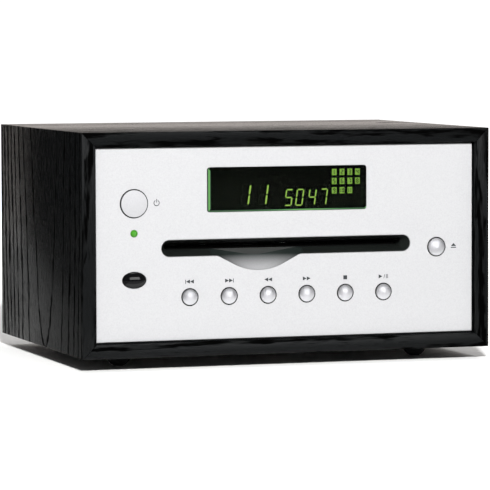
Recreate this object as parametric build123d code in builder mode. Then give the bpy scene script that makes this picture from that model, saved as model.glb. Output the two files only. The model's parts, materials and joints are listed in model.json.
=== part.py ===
"""A small table-top cd player: a mitred wooden cabinet, a metal front with a disc slot, and a
slot-loading mechanism inside. Millimetres; +X to the right, +Y to the back, +Z up; the origin
is on the surface it stands on, under the middle of the cabinet."""

import os
from math import asin, cos, degrees, radians, sin, tan

from build123d import *

os.makedirs("parts", exist_ok=True)

# Cabinet
cabinet_width = 212.7
cabinet_depth = 158.3
cabinet_height = 110.5
board = 7.0
cleat = 10.0
cleat_length = 12.0

# Feet
foot_height = 6.4
foot_radius = 6.35
foot_flat_radius = 2.4
foot_inset_x = 27.5
foot_inset_y = 32.8

# Front panel
panel_recess = 3.0
panel_gap = 0.85
panel_thickness = 3.0
panel_edge_round = 0.4
frame_thickness = 2.5

# Disc slot, its funnel and the thumb scoop under it
slot_width = 130.1
slot_height = 8.0
slot_below_middle = 2.1
slot_lip = 1.0
slot_lip_round = 0.7
mouth_width = 124.0
mouth_height = 3.1
mouth_above_slot = 0.5
funnel_end = 6.5
liner_wall = 2.0
scoop_left = 14.85
scoop_drop = 7.7
scoop_flank = 27.0
scoop_round = 28.0
scoop_shoulder = 8.0
scoop_depth = 7.0

# Display
display_width = 83.5
display_height = 22.15
display_above_middle = 26.35
display_corner = 1.4
display_proud = 0.3

# Controls: places from the middle of the front, sizes of the holes they sit in
column_from_slot = 14.15
power_above = 20.25
led_above = 5.6
remote_below = 17.25
eject_below = 4.4
keys_below = 26.25
key_pitch = 20.3
key_hole = 4.2
eject_hole = 4.7
power_hole = 6.95
led_radius = 1.8
remote_half_width = 6.15
remote_half_height = 4.1
key_travel = 0.6
power_travel = 0.8

# Circuit boards and the switches behind the buttons
circuit_board = 1.6
front_board_depth = 15.0
switch_size = 6.0
switch_height = 3.5
plunger_radius = 1.7
plunger_height = 0.9

# Disc mechanism
disc_radius = 60.0
disc_thickness = 1.2
disc_middle_y = 4.5
tray_side = 5.0
tray_under = 16.0
tray_over = 6.0
sheet = 1.0
tray_front_gap = 0.35
roller_radius = 4.3
roller_waist = 3.6
gear_module = 0.8
roller_teeth = 15
idler_teeth = 18
lens_inner_radius = 24.0
lens_outer_radius = 58.0
rod_radius = 1.5
rod_spread = 17.0
clamp_drop = 2.0

# Back
rear_recess = 8.0
rear_panel_thickness = 1.5
jack_radius = 4.15
jack_length = 7.5
jack_pitch = 14.0

# Screws
screw_radius = 1.5
screw_head_radius = 2.8
screw_head = 1.8
chassis_screw_length = 5.0
chassis_screw_spread = (84.0, 53.5)
small_screw_radius = 1.2
small_head_radius = 2.3
small_head = 1.4

# Clearances
fit = 0.05
slide_gap = 0.1
loose = 0.3

# Places that follow from the sizes
half_width = cabinet_width / 2
front_y = -cabinet_depth / 2
back_y = cabinet_depth / 2
base_z = foot_height
top_z = base_z + cabinet_height
middle_z = (base_z + top_z) / 2
inner_half = half_width - board
floor_z = base_z + board
ceiling_z = top_z - board
panel_y = front_y + panel_recess
panel_back_y = panel_y + panel_thickness
frame_back_y = panel_back_y + frame_thickness
slot_z = middle_z - slot_below_middle
disc_z = slot_z + mouth_above_slot
display_z = middle_z + display_above_middle
column_x = slot_width / 2 + column_from_slot
rear_panel_y = back_y - rear_recess - rear_panel_thickness
chassis_screw_places = [
    (side * chassis_screw_spread[0], end * chassis_screw_spread[1]) for side in (-1, 1) for end in (-1, 1)
]

turn = {"X": (0, 90, 0), "Y": (90, 0, 0), "Z": (0, 0, 0)}


def finish(piece, name):
    """Label one finished piece and write its STEP file."""
    piece.part.label = name
    export_step(piece.part, f"parts/{name}.step")


def front_plane(depth):
    """A plane across the front, depth behind the panel's face: x to the right, y up."""
    return Plane(origin=(0, panel_y + depth, 0), x_dir=(1, 0, 0), z_dir=(0, -1, 0))


def block(x, y, z, mode=Mode.ADD):
    """A box between two places on each axis."""
    with Locations([((x[0] + x[1]) / 2, (y[0] + y[1]) / 2, (z[0] + z[1]) / 2)]):
        Box(x[1] - x[0], y[1] - y[0], z[1] - z[0], mode=mode)


def rod(along, span, across, radius, mode=Mode.ADD):
    """A round bar along one axis: span is its two ends, across its place on the other two."""
    middle = sum(span) / 2
    place = {
        "X": (middle, *across),
        "Y": (across[0], middle, across[1]),
        "Z": (*across, middle),
    }[along]
    with Locations([Location(place, turn[along])]):
        Cylinder(radius, span[1] - span[0], mode=mode)


def depths(near, far):
    """Two depths behind the panel's face, as places on Y."""
    return (panel_y + near, panel_y + far)


# ---- Cabinet: four boards with mitred ends, closed up to a tube ----
def mitred_board(outer, inner, pilots=()):
    """A board whose section is the strip between an outer and an inner edge of the tube."""
    with BuildPart() as plank:
        with BuildSketch(Plane(origin=(0, front_y, 0), x_dir=(1, 0, 0), z_dir=(0, -1, 0))):
            with BuildLine():
                Polyline(outer[0], outer[1], inner[1], inner[0], close=True)
            make_face()
        extrude(amount=-cabinet_depth)
        for x, y in pilots:
            pilot = (floor_z - chassis_screw_length, floor_z)
            rod("Z", pilot, (x, y), screw_radius + fit, mode=Mode.SUBTRACT)
    return plank


outer_corners = [(-half_width, base_z), (half_width, base_z), (half_width, top_z), (-half_width, top_z)]
inner_corners = [
    (-inner_half, floor_z),
    (inner_half, floor_z),
    (inner_half, ceiling_z),
    (-inner_half, ceiling_z),
]
foot_places = [
    (side * (half_width - foot_inset_x), end * (cabinet_depth / 2 - foot_inset_y))
    for side in (-1, 1)
    for end in (-1, 1)
]
board_names = ["bottom_board", "right_board", "top_board", "left_board"]
for index, board_name in enumerate(board_names):
    following = (index + 1) % 4
    plank = mitred_board(
        (outer_corners[index], outer_corners[following]),
        (inner_corners[index], inner_corners[following]),
        chassis_screw_places if board_name == "bottom_board" else (),
    )
    finish(plank, board_name)

# Glue blocks in the corners: the front frame and the rear panel are screwed to them
cleat_spans = [(frame_back_y, frame_back_y + cleat_length), (rear_panel_y - cleat_length, rear_panel_y)]
cleat_x = inner_half - cleat / 2
cleat_low_z = floor_z + cleat / 2
cleat_high_z = ceiling_z - cleat / 2
cleat_places = [(side * cleat_x, z) for side in (-1, 1) for z in (cleat_low_z, cleat_high_z)]
with BuildPart() as corner_blocks:
    for span in cleat_spans:
        for x, z in cleat_places:
            block((x - cleat / 2, x + cleat / 2), span, (z - cleat / 2, z + cleat / 2))
            rod("Y", span, (x, z), screw_radius + fit, mode=Mode.SUBTRACT)
finish(corner_blocks, "corner_blocks")

# Feet: rubber domes with a small flat to stand on
with BuildPart() as rubber_feet:
    for x, y in foot_places:
        with BuildSketch(Plane(origin=(x, y, base_z), x_dir=(1, 0, 0), z_dir=(0, -1, 0))):
            with BuildLine():
                ThreePointArc(
                    (foot_radius, 0),
                    (foot_radius * 0.82, -foot_height * 0.62),
                    (foot_flat_radius, -foot_height),
                )
                Polyline(
                    (foot_flat_radius, -foot_height), (0, -foot_height), (0, 0), (foot_radius, 0)
                )
            make_face()
        revolve(axis=Axis((x, y, base_z), (0, 0, 1)))
finish(rubber_feet, "rubber_feet")

# ---- Front panel, with the slot, its scoop and a hole for each control ----
key_names = ["skip_back", "skip_forward", "search_back", "search_forward", "stop", "play_pause"]
key_middle = (len(key_names) - 1) / 2
keys = {
    f"{name}_button": ((index - key_middle) * key_pitch, middle_z - keys_below)
    for index, name in enumerate(key_names)
}
power_place = (-column_x, middle_z + power_above)
led_place = (-column_x, middle_z + led_above)
remote_place = (-column_x, middle_z - remote_below)
eject_place = (column_x, middle_z - eject_below)
buttons = {name: (place, key_hole, key_travel) for name, place in keys.items()}
buttons["eject_button"] = (eject_place, eject_hole, key_travel)
buttons["power_button"] = (power_place, power_hole, power_travel)

funnel_low = (slot_height - mouth_height) / 2 + mouth_above_slot
scoop_x = -scoop_left
scoop_apex = scoop_drop + scoop_round * (1 / cos(radians(scoop_flank)) - 1)
scoop_reach = scoop_apex / tan(radians(scoop_flank))
boss_half = scoop_reach + scoop_shoulder * tan(radians(scoop_flank / 2)) + loose
boss_low = slot_z - slot_height / 2 - scoop_drop - 1.8
mouth_low = disc_z - mouth_height / 2


def funnel_floor(depth):
    """Height of the funnel's lower face at a depth behind the panel's face."""
    share = min(max((depth - slot_lip) / (funnel_end - slot_lip), 0), 1)
    return slot_z - slot_height / 2 + funnel_low * share


def make_scoop():
    """The hollow of the thumb scoop: a rounded V that gets shallower as it goes in."""
    with BuildPart() as hollow:
        for depth, share in ((-0.5, 1.02), (2.5, 0.94), (5.0, 0.68), (scoop_depth + slide_gap, 0.3)):
            low = funnel_floor(depth)
            with BuildSketch(front_plane(depth)):
                with BuildLine():
                    FilletPolyline(
                        (scoop_x - scoop_reach - scoop_shoulder, low),
                        (scoop_x - scoop_reach, low),
                        (scoop_x, low - scoop_apex * share),
                        (scoop_x + scoop_reach, low),
                        (scoop_x + scoop_reach + scoop_shoulder, low),
                        radius=[scoop_shoulder, scoop_round, scoop_shoulder],
                    )
                    Polyline(
                        (scoop_x + scoop_reach + scoop_shoulder, low),
                        (scoop_x + scoop_reach + scoop_shoulder, slot_z),
                        (scoop_x - scoop_reach - scoop_shoulder, slot_z),
                        (scoop_x - scoop_reach - scoop_shoulder, low),
                    )
                make_face()
        loft()
    return hollow.part


def make_funnel():
    """The hollow of the slot: a lip, a funnel and a straight passage for the disc."""
    with BuildPart() as hollow:
        with BuildSketch(front_plane(-1)):
            with Locations((0, slot_z)):
                SlotOverall(slot_width, slot_height)
        extrude(amount=-(1 + slot_lip))
        with BuildSketch(front_plane(slot_lip)):
            with Locations((0, slot_z)):
                SlotOverall(slot_width, slot_height)
        with BuildSketch(front_plane(funnel_end)):
            with Locations((0, disc_z)):
                SlotOverall(mouth_width, mouth_height)
        loft()
        with BuildSketch(front_plane(funnel_end)):
            with Locations((0, disc_z)):
                SlotOverall(mouth_width, mouth_height)
        extrude(amount=-20)
    return hollow.part


scoop = make_scoop()
funnel = make_funnel()
nose_width = slot_width + 2 * liner_wall
nose_height = slot_height + 2 * liner_wall

with BuildPart() as front_panel:
    panel_half = inner_half - panel_gap
    panel_heights = (floor_z + panel_gap, ceiling_z - panel_gap)
    block((-panel_half, panel_half), depths(0, panel_thickness), panel_heights)
    fillet(front_panel.faces().sort_by(Axis.Y)[0].edges(), panel_edge_round)
    with BuildSketch(front_plane(panel_thickness)):
        with Locations((0, slot_z)):
            SlotOverall(nose_width, nose_height)
    extrude(amount=panel_thickness - slot_lip, mode=Mode.SUBTRACT)
    with BuildSketch(front_plane(0)):
        with Locations((0, slot_z)):
            SlotOverall(slot_width, slot_height)
        with Locations((0, display_z)):
            RectangleRounded(display_width, display_height, display_corner)
        with Locations(remote_place):
            Ellipse(remote_half_width + slide_gap, remote_half_height + slide_gap)
        with Locations(led_place):
            Circle(led_radius + slide_gap)
        for place, hole, _ in buttons.values():
            with Locations(place):
                Circle(hole)
    extrude(amount=-panel_thickness, mode=Mode.SUBTRACT)
    lip_edges = front_panel.faces().sort_by(Axis.Y)[0].edges().filter_by(
        lambda edge: abs(edge.center().Z - slot_z) < slot_height and abs(edge.center().X) < column_x - 10
    )
    fillet(lip_edges, slot_lip_round)
    block(
        (scoop_x - boss_half, scoop_x + boss_half),
        depths(slot_lip, scoop_depth),
        (boss_low, mouth_low),
    )
    add(funnel, mode=Mode.SUBTRACT)
    add(scoop, mode=Mode.SUBTRACT)
finish(front_panel, "front_panel")

# Slot liner: the black funnel behind the slot, open to the panel's scoop below
liner_flange = 1.2
liner_end = 17.8
liner_body_half = mouth_width / 2 + 5.0
liner_body_high = 6.0
liner_flange_half = nose_width / 2 + 2.5
liner_flange_high = nose_height / 2 + 2.0
with BuildPart() as slot_liner:
    with BuildSketch(front_plane(slot_lip)):
        with Locations((0, slot_z)):
            SlotOverall(nose_width - 2 * slide_gap, nose_height - 2 * slide_gap)
    extrude(amount=slot_lip - panel_thickness)
    block(
        (-liner_flange_half, liner_flange_half),
        depths(panel_thickness, panel_thickness + liner_flange),
        (slot_z - liner_flange_high, slot_z + liner_flange_high),
    )
    block(
        (-liner_body_half, liner_body_half),
        depths(panel_thickness + liner_flange, liner_end),
        (slot_z - liner_body_high, slot_z + liner_body_high),
    )
    add(funnel, mode=Mode.SUBTRACT)
    block(
        (scoop_x - boss_half - slide_gap, scoop_x + boss_half + slide_gap),
        depths(0, scoop_depth + slide_gap),
        (boss_low, mouth_low),
        mode=Mode.SUBTRACT,
    )
finish(slot_liner, "slot_liner")

# Felt strips above and below the disc's way, glued in the liner
felt = 0.6
felt_span = depths(9.0, 15.0)
felt_half = mouth_width / 2 - 2.0
with BuildPart() as slot_seals:
    block((-felt_half, felt_half), felt_span, (mouth_low, mouth_low + felt))
    block((-felt_half, felt_half), felt_span, (mouth_low + mouth_height - felt, mouth_low + mouth_height))
finish(slot_seals, "slot_seals")

# ---- Front frame: the black moulding behind the panel that carries the front's parts ----
flange_play = 0.5
flange_extra = 1.1
standoff_radius = 2.5
standoff_spread = (80.0, 41.5)
standoff_places = [
    (x * standoff_spread[0], middle_z + side * standoff_spread[1])
    for x in (-1, 0, 1)
    for side in (-1, 1)
]
display_flange = 1.6
with BuildPart() as front_frame:
    frame_half = inner_half - slide_gap
    block(
        (-frame_half, frame_half),
        (panel_back_y, frame_back_y),
        (floor_z + slide_gap, ceiling_z - slide_gap),
    )
    block(
        (-liner_flange_half - loose, liner_flange_half + loose),
        (panel_back_y, frame_back_y),
        (slot_z - liner_flange_high - loose, slot_z + liner_flange_high + loose),
        mode=Mode.SUBTRACT,
    )
    block(
        (scoop_x - boss_half - loose, scoop_x + boss_half + loose),
        (panel_back_y, frame_back_y),
        (boss_low - loose, slot_z),
        mode=Mode.SUBTRACT,
    )
    display_open_half = display_width / 2 + display_flange + loose
    display_open_high = display_height / 2 + display_flange + loose
    block(
        (-display_open_half, display_open_half),
        (panel_back_y, frame_back_y),
        (display_z - display_open_high, display_z + display_open_high),
        mode=Mode.SUBTRACT,
    )
    with BuildSketch(front_plane(panel_thickness)):
        for place, hole, _ in buttons.values():
            with Locations(place):
                Circle(hole + flange_extra + flange_play)
        with Locations(led_place):
            Circle(led_radius + slide_gap)
        with Locations(remote_place):
            Ellipse(remote_half_width + 1.5, remote_half_height + 1.5)
    extrude(amount=-frame_thickness, mode=Mode.SUBTRACT)
    for place in standoff_places:
        rod("Y", (frame_back_y, panel_y + front_board_depth), place, standoff_radius)
        pilot = depths(front_board_depth - 8, front_board_depth)
        rod("Y", pilot, place, small_screw_radius + fit, mode=Mode.SUBTRACT)
    for place in cleat_places:
        rod("Y", (panel_back_y, frame_back_y), place, screw_radius + fit, mode=Mode.SUBTRACT)
finish(front_frame, "front_frame")

# ---- Display ----
window_gap = 0.1
with BuildPart() as display_window:
    with BuildSketch(front_plane(-display_proud)):
        with Locations((0, display_z)):
            RectangleRounded(display_width - 2 * window_gap, display_height - 2 * window_gap, display_corner)
    extrude(amount=-(display_proud + panel_thickness))
    block(
        (-display_width / 2 - display_flange, display_width / 2 + display_flange),
        depths(panel_thickness, panel_thickness + 1.0),
        (display_z - display_height / 2 - display_flange, display_z + display_height / 2 + display_flange),
    )
finish(display_window, "display_window")

display_glass_half = 40.0
display_glass_high = 10.5
with BuildPart() as display_module:
    block(
        (-display_glass_half, display_glass_half),
        depths(panel_thickness + 1.2, 8.0),
        (display_z - display_glass_high, display_z + display_glass_high),
    )
    block(
        (-display_glass_half - 1, display_glass_half + 1),
        depths(8.0, front_board_depth),
        (display_z - display_glass_high - 0.5, display_z + display_glass_high + 0.5),
    )
finish(display_module, "display_module")

# ---- Status light, remote window and receiver ----
led_proud = 0.9
with BuildPart() as status_light:
    with BuildSketch(Plane(origin=(led_place[0], panel_y, led_place[1]), x_dir=(1, 0, 0), z_dir=(0, 0, 1))):
        with BuildLine():
            ThreePointArc((0, -led_proud), (led_radius * 0.707, -led_proud * 0.66), (led_radius, 0))
            Polyline(
                (led_radius, 0),
                (led_radius, 9.0),
                (led_radius + 0.3, 9.0),
                (led_radius + 0.3, 10.0),
                (0, 10.0),
                (0, -led_proud),
            )
        make_face()
    revolve(axis=Axis((led_place[0], 0, led_place[1]), (0, 1, 0)))
    for side in (-1, 1):
        rod("Y", depths(9.5, front_board_depth), (led_place[0] + side * 1.27, led_place[1]), 0.3)
finish(status_light, "status_light")

remote_proud = 1.8
remote_round = 1.5
with BuildPart() as remote_window:
    with BuildSketch(front_plane(-remote_proud)):
        with Locations(remote_place):
            Ellipse(remote_half_width, remote_half_height)
    extrude(amount=-(remote_proud + panel_thickness))
    fillet(remote_window.faces().sort_by(Axis.Y)[0].edges(), remote_round)
    with BuildSketch(front_plane(panel_thickness)):
        with Locations(remote_place):
            Ellipse(remote_half_width + 1.1, remote_half_height + 1.1)
    extrude(amount=-1.0)
finish(remote_window, "remote_window")

receiver_depth = 9.0
with BuildPart() as remote_receiver:
    block(
        (remote_place[0] - 3, remote_place[0] + 3),
        depths(receiver_depth, front_board_depth),
        (remote_place[1] - 3.5, remote_place[1] + 3.5),
    )
finish(remote_receiver, "remote_receiver")

# ---- Push buttons: domed caps with a flange behind the panel and a stem to the switch ----
cap_gap = 0.35
flange_thickness = 1.0
switch_gap = 0.1
plunger_depth = front_board_depth - switch_height - plunger_height


def push_button(place, hole, travel, crown, proud):
    """A cap turned about its own axis: crown is how much its face bulges, proud how far out it is."""
    radius = hole - cap_gap
    bend = (radius**2 + crown**2) / (2 * crown)
    flange = hole + flange_extra
    stem = 2.0
    stem_end = plunger_depth - travel - switch_gap
    rim = crown - proud
    with BuildPart() as cap:
        with BuildSketch(Plane(origin=(place[0], panel_y, place[1]), x_dir=(1, 0, 0), z_dir=(0, 0, 1))):
            with BuildLine():
                CenterArc((0, bend - proud), bend, -90, degrees(asin(radius / bend)))
                Polyline(
                    (radius, rim),
                    (radius, panel_thickness + fit),
                    (flange, panel_thickness + fit),
                    (flange, panel_thickness + fit + flange_thickness),
                    (stem, panel_thickness + fit + flange_thickness),
                    (stem, stem_end),
                    (0, stem_end),
                    (0, -proud),
                )
            make_face()
        revolve(axis=Axis((place[0], 0, place[1]), (0, 1, 0)))
    return cap


crowns = {"power_button": (0.5, 1.3), "eject_button": (1.0, 1.3)}
for name, (place, hole, travel) in buttons.items():
    crown, proud = crowns.get(name, (1.1, 1.4))
    finish(push_button(place, hole, travel, crown, proud), name)

with BuildPart() as tact_switches:
    for place, _, _ in buttons.values():
        block(
            (place[0] - switch_size / 2, place[0] + switch_size / 2),
            depths(front_board_depth - switch_height, front_board_depth),
            (place[1] - switch_size / 2, place[1] + switch_size / 2),
        )
        rod("Y", depths(plunger_depth, front_board_depth - switch_height), place, plunger_radius)
finish(tact_switches, "tact_switches")

front_board_half = 86.0
front_board_high = 44.5
board_back = front_board_depth + circuit_board
window_half = liner_body_half + 1.5
with BuildPart() as front_circuit_board:
    block(
        (-front_board_half, front_board_half),
        depths(front_board_depth, board_back),
        (middle_z - front_board_high, middle_z + front_board_high),
    )
    block(
        (-window_half, window_half),
        depths(front_board_depth, board_back),
        (slot_z - liner_body_high - 1.5, slot_z + liner_body_high + 1.5),
        mode=Mode.SUBTRACT,
    )
    for place in standoff_places:
        rod("Y", depths(front_board_depth, board_back), place, small_screw_radius + fit, mode=Mode.SUBTRACT)
finish(front_circuit_board, "front_circuit_board")

# ---- Chassis plate on the cabinet's floor ----
chassis_half = inner_half - 3.0
chassis_span = (cleat_spans[0][1] + 1.0, cleat_spans[1][0] - 1.0)
chassis_top = floor_z + sheet
post_x = 57.0
tray_half = disc_radius + tray_side
tray_outer = tray_half + sheet
tray_front = panel_y + liner_end + tray_front_gap
tray_back = disc_middle_y + disc_radius + 1.5
tray_floor = disc_z - tray_under
tray_top = disc_z + tray_over
post_places = [(side * post_x, y) for side in (-1, 1) for y in (tray_front + 7, tray_back - 8)]
board_rise = 6.0
main_board_z = chassis_top + board_rise
main_board_half = post_x - 5.5
board_post_places = [(side * (main_board_half - 5), y) for side in (-1, 1) for y in (-40.0, 45.0)]
with BuildPart() as chassis_plate:
    block((-chassis_half, chassis_half), chassis_span, (floor_z, chassis_top))
    for x, y in chassis_screw_places:
        rod("Z", (floor_z, chassis_top), (x, y), screw_radius + fit, mode=Mode.SUBTRACT)
    for x, y in board_post_places:
        rod("Z", (chassis_top, main_board_z), (x, y), 2.5)
        rod("Z", (chassis_top, main_board_z), (x, y), small_screw_radius + fit, mode=Mode.SUBTRACT)
finish(chassis_plate, "chassis_plate")

# ---- Mechanism tray on four posts with rubber dampers ----
damper = 2.0
post_top = tray_floor - sheet - damper
with BuildPart() as support_posts:
    for x, y in post_places:
        rod("Z", (chassis_top, post_top), (x, y), 4.0)
        rod("Z", (post_top - 7, post_top), (x, y), small_screw_radius + fit, mode=Mode.SUBTRACT)
finish(support_posts, "support_posts")

with BuildPart() as rubber_dampers:
    for x, y in post_places:
        rod("Z", (post_top, tray_floor - sheet), (x, y), 5.0)
        rod("Z", (post_top, tray_floor - sheet), (x, y), small_screw_radius + fit, mode=Mode.SUBTRACT)
finish(rubber_dampers, "rubber_dampers")

# Where the loading roller, its tilting bracket and its drive sit
roller_y = tray_front + 9.5
roller_z = disc_z - disc_thickness / 2 - roller_radius - slide_gap
gear_distance = gear_module * (roller_teeth + idler_teeth) / 2
lean = 32.5
pivot_y = roller_y + gear_distance * cos(radians(lean))
pivot_z = roller_z - gear_distance * sin(radians(lean))
shaft_radius = 1.5
trunnion_radius = 1.5
motor_y = pivot_y + 12.0
motor_z = pivot_z + 2.4
motor_radius = 6.0
motor_shaft_radius = 0.75
with BuildPart() as mechanism_tray:
    block((-tray_outer, tray_outer), (tray_front, tray_back), (tray_floor - sheet, tray_top))
    block(
        (-tray_half, tray_half),
        (tray_front + sheet, tray_back - sheet),
        (tray_floor, tray_top),
        mode=Mode.SUBTRACT,
    )
    block(
        (-disc_radius - 2.5, disc_radius + 2.5),
        (tray_front, tray_front + sheet),
        (disc_z - mouth_height, disc_z + mouth_height),
        mode=Mode.SUBTRACT,
    )
    for x, y in post_places:
        rod("Z", (tray_floor - sheet, tray_floor), (x, y), small_screw_radius + fit, mode=Mode.SUBTRACT)
    for side in (-1, 1):
        wall = sorted((side * tray_half, side * tray_outer))
        rod("X", wall, (pivot_y, pivot_z), trunnion_radius + fit, mode=Mode.SUBTRACT)
    right_wall = (tray_half, tray_outer)
    block(
        right_wall,
        (roller_y - 3.6, roller_y + 2.2),
        (roller_z - 4.2, roller_z + 2.2),
        mode=Mode.SUBTRACT,
    )
    rod("X", right_wall, (motor_y, motor_z), motor_shaft_radius + 0.5, mode=Mode.SUBTRACT)
finish(mechanism_tray, "mechanism_tray")

clamp_hole = 16.0
arm_top = tray_top + sheet + 2.9
hinge_y = tray_back - 5.0
hinge_z = arm_top + 1.2
hinge_ear = 14.0
with BuildPart() as mechanism_cover:
    block((-tray_outer, tray_outer), (tray_front, tray_back), (tray_top, tray_top + sheet))
    rod("Z", (tray_top, tray_top + sheet), (0, disc_middle_y), clamp_hole, mode=Mode.SUBTRACT)
    for side in (-1, 1):
        ear = sorted((side * hinge_ear, side * (hinge_ear + sheet)))
        block(ear, (hinge_y - 3, hinge_y + 3), (tray_top + sheet, hinge_z + 2.2))
        rod("X", ear, (hinge_y, hinge_z), 1.0 + fit, mode=Mode.SUBTRACT)
finish(mechanism_cover, "mechanism_cover")

# ---- Deck with the spindle, the pickup and its feed ----
deck_low = tray_floor + 3.0
deck_top = deck_low + 2.0
axle_z = disc_z - 8.0
screw_y = disc_middle_y + rod_spread + 8.0
feed_screw_radius = 1.6
feed_motor_radius = 5.2
feed_motor_span = (-8.0, 6.0)
ear_thickness = 3.0
deck_half = tray_half - 0.5
deck_span = (disc_middle_y - rod_spread - 5.0, screw_y + 6.5)
inner_ear = (feed_motor_span[1], feed_motor_span[1] + ear_thickness)
outer_ear = (deck_half - ear_thickness, deck_half)
rod_span = (1.0, deck_half)
rod_inner_ear = (1.0, 1.0 + ear_thickness)
rod_ys = (disc_middle_y - rod_spread, disc_middle_y + rod_spread)
deck_left = -40.0
ear_top = axle_z + 2.6
with BuildPart() as traverse_deck:
    block((deck_left, deck_half), deck_span, (deck_low, deck_top))
    for x in (deck_left + 5, deck_half - 5):
        for y in (deck_span[0] + 5, deck_span[1] - 4):
            rod("Z", (tray_floor, deck_low), (x, y), 3.5)
    for rod_y in rod_ys:
        for ear in (rod_inner_ear, outer_ear):
            block(ear, (rod_y - 2.6, rod_y + 2.6), (deck_top, ear_top))
            rod("X", ear, (rod_y, axle_z), rod_radius, mode=Mode.SUBTRACT)
    for ear in (inner_ear, outer_ear):
        block(ear, (screw_y - 2.8, screw_y + 2.8), (deck_top, ear_top))
        rod("X", ear, (screw_y, axle_z), feed_screw_radius + fit, mode=Mode.SUBTRACT)
    block(
        (feed_motor_span[0] - 0.5, feed_motor_span[1]),
        (screw_y - feed_motor_radius - 0.5, screw_y + feed_motor_radius + 0.5),
        (deck_low, deck_top),
        mode=Mode.SUBTRACT,
    )
finish(traverse_deck, "traverse_deck")

spindle_bore = 1.0
motor_top = disc_z - 4.0
with BuildPart() as spindle_motor:
    rod("Z", (deck_top, motor_top), (0, disc_middle_y), 11.0)
    rod("Z", (deck_top, motor_top), (0, disc_middle_y), spindle_bore + fit, mode=Mode.SUBTRACT)
finish(spindle_motor, "spindle_motor")

seat_z = disc_z - disc_thickness / 2
hub_radius = 7.4
with BuildPart() as turntable:
    rod("Z", (seat_z - 2.4, seat_z), (0, disc_middle_y), 15.0)
    rod("Z", (seat_z, seat_z + 2.0), (0, disc_middle_y), hub_radius)
    chamfer(turntable.faces().sort_by(Axis.Z)[-1].edges(), 0.8)
    rod("Z", (deck_top + 0.3, seat_z - 2.0), (0, disc_middle_y), spindle_bore)
finish(turntable, "turntable")

with BuildPart() as guide_rods:
    for rod_y in rod_ys:
        rod("X", rod_span, (rod_y, axle_z), rod_radius)
finish(guide_rods, "guide_rods")

pickup_travel = lens_outer_radius - lens_inner_radius
sled_span = (lens_inner_radius - 10.5, outer_ear[0] - pickup_travel - 0.5)
sled_low = axle_z - 2.5
sled_top = axle_z + 2.5
with BuildPart() as pickup_sled:
    block(sled_span, (rod_ys[0] - 3.2, screw_y + 3.2), (sled_low, sled_top))
    for rod_y in rod_ys:
        rod("X", sled_span, (rod_y, axle_z), rod_radius + fit, mode=Mode.SUBTRACT)
    rod("X", sled_span, (screw_y, axle_z), feed_screw_radius + fit, mode=Mode.SUBTRACT)
finish(pickup_sled, "pickup_sled")

with BuildPart() as objective_lens:
    block(
        (lens_inner_radius - 4.5, lens_inner_radius + 4.5),
        (disc_middle_y - 5.5, disc_middle_y + 5.5),
        (sled_top, sled_top + 1.2),
    )
    rod("Z", (sled_top + 1.2, seat_z - 1.6), (lens_inner_radius, disc_middle_y), 3.2)
finish(objective_lens, "objective_lens")

with BuildPart() as feed_screw:
    rod("X", (feed_motor_span[0] + 1, deck_half), (screw_y, axle_z), feed_screw_radius)
finish(feed_screw, "feed_screw")

with BuildPart() as feed_motor:
    rod("X", feed_motor_span, (screw_y, axle_z), feed_motor_radius)
    rod(
        "X",
        (feed_motor_span[0] + 0.9, feed_motor_span[1]),
        (screw_y, axle_z),
        feed_screw_radius + fit,
        mode=Mode.SUBTRACT,
    )
finish(feed_motor, "feed_motor")

# ---- Loading roller on a tilting bracket, driven by a belt and a pair of gears ----
bracket_half = tray_half - 1.0
bracket_sheet = 1.0
with BuildPart() as roller_bracket:
    for side in (-1, 1):
        plate = sorted((side * (bracket_half - bracket_sheet), side * bracket_half))
        block(plate, (roller_y - 3.0, pivot_y + 3.0), (pivot_z - 2.6, roller_z + 2.8))
        rod("X", plate, (roller_y, roller_z), shaft_radius + fit, mode=Mode.SUBTRACT)
    block((-bracket_half, bracket_half), (pivot_y - 3.0, pivot_y + 3.0), (pivot_z - 2.6, pivot_z - 1.6))
    rod("X", (-tray_outer, -bracket_half), (pivot_y, pivot_z), trunnion_radius)
    rod("X", (bracket_half, tray_outer + 6.5), (pivot_y, pivot_z), trunnion_radius)
finish(roller_bracket, "roller_bracket")

gear_span = (tray_outer + 0.6, tray_outer + 3.0)
with BuildPart() as roller_shaft:
    rod("X", (-bracket_half, gear_span[1]), (roller_y, roller_z), shaft_radius)
finish(roller_shaft, "roller_shaft")

roller_span = (3.0, bracket_half - bracket_sheet - 1.5)
with BuildPart() as loading_roller:
    for side in (-1, 1):
        middle = side * sum(roller_span) / 2
        with Locations([Location((middle, roller_y, roller_z), (0, 90 * side, 0))]):
            Cone(roller_waist, roller_radius, roller_span[1] - roller_span[0])
    rod("X", (-bracket_half, bracket_half), (roller_y, roller_z), shaft_radius, mode=Mode.SUBTRACT)
finish(loading_roller, "loading_roller")


def spur_gear(teeth, span, bore, phase):
    """A gear on the X direction about the origin of Y and Z, with one tooth at the angle phase."""
    pitch_radius = gear_module * teeth / 2
    root = pitch_radius - 1.15 * gear_module
    tip = pitch_radius + 0.85 * gear_module
    half_tooth = 90 / teeth
    flank = [
        (r, -r * tan(radians(half_tooth * share)))
        for r, share in ((root - 0.3, 1.25), (pitch_radius, 0.86), (tip, 0.42))
    ]
    with BuildPart() as gear:
        with BuildSketch(Plane(origin=(span[0], 0, 0), x_dir=(0, 1, 0), z_dir=(1, 0, 0))):
            Circle(root)
            with PolarLocations(0, teeth, start_angle=phase):
                Polygon(*flank, *[(r, -across) for r, across in reversed(flank)], align=None)
            Circle(bore, mode=Mode.SUBTRACT)
        extrude(amount=span[1] - span[0])
    return gear.part


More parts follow.
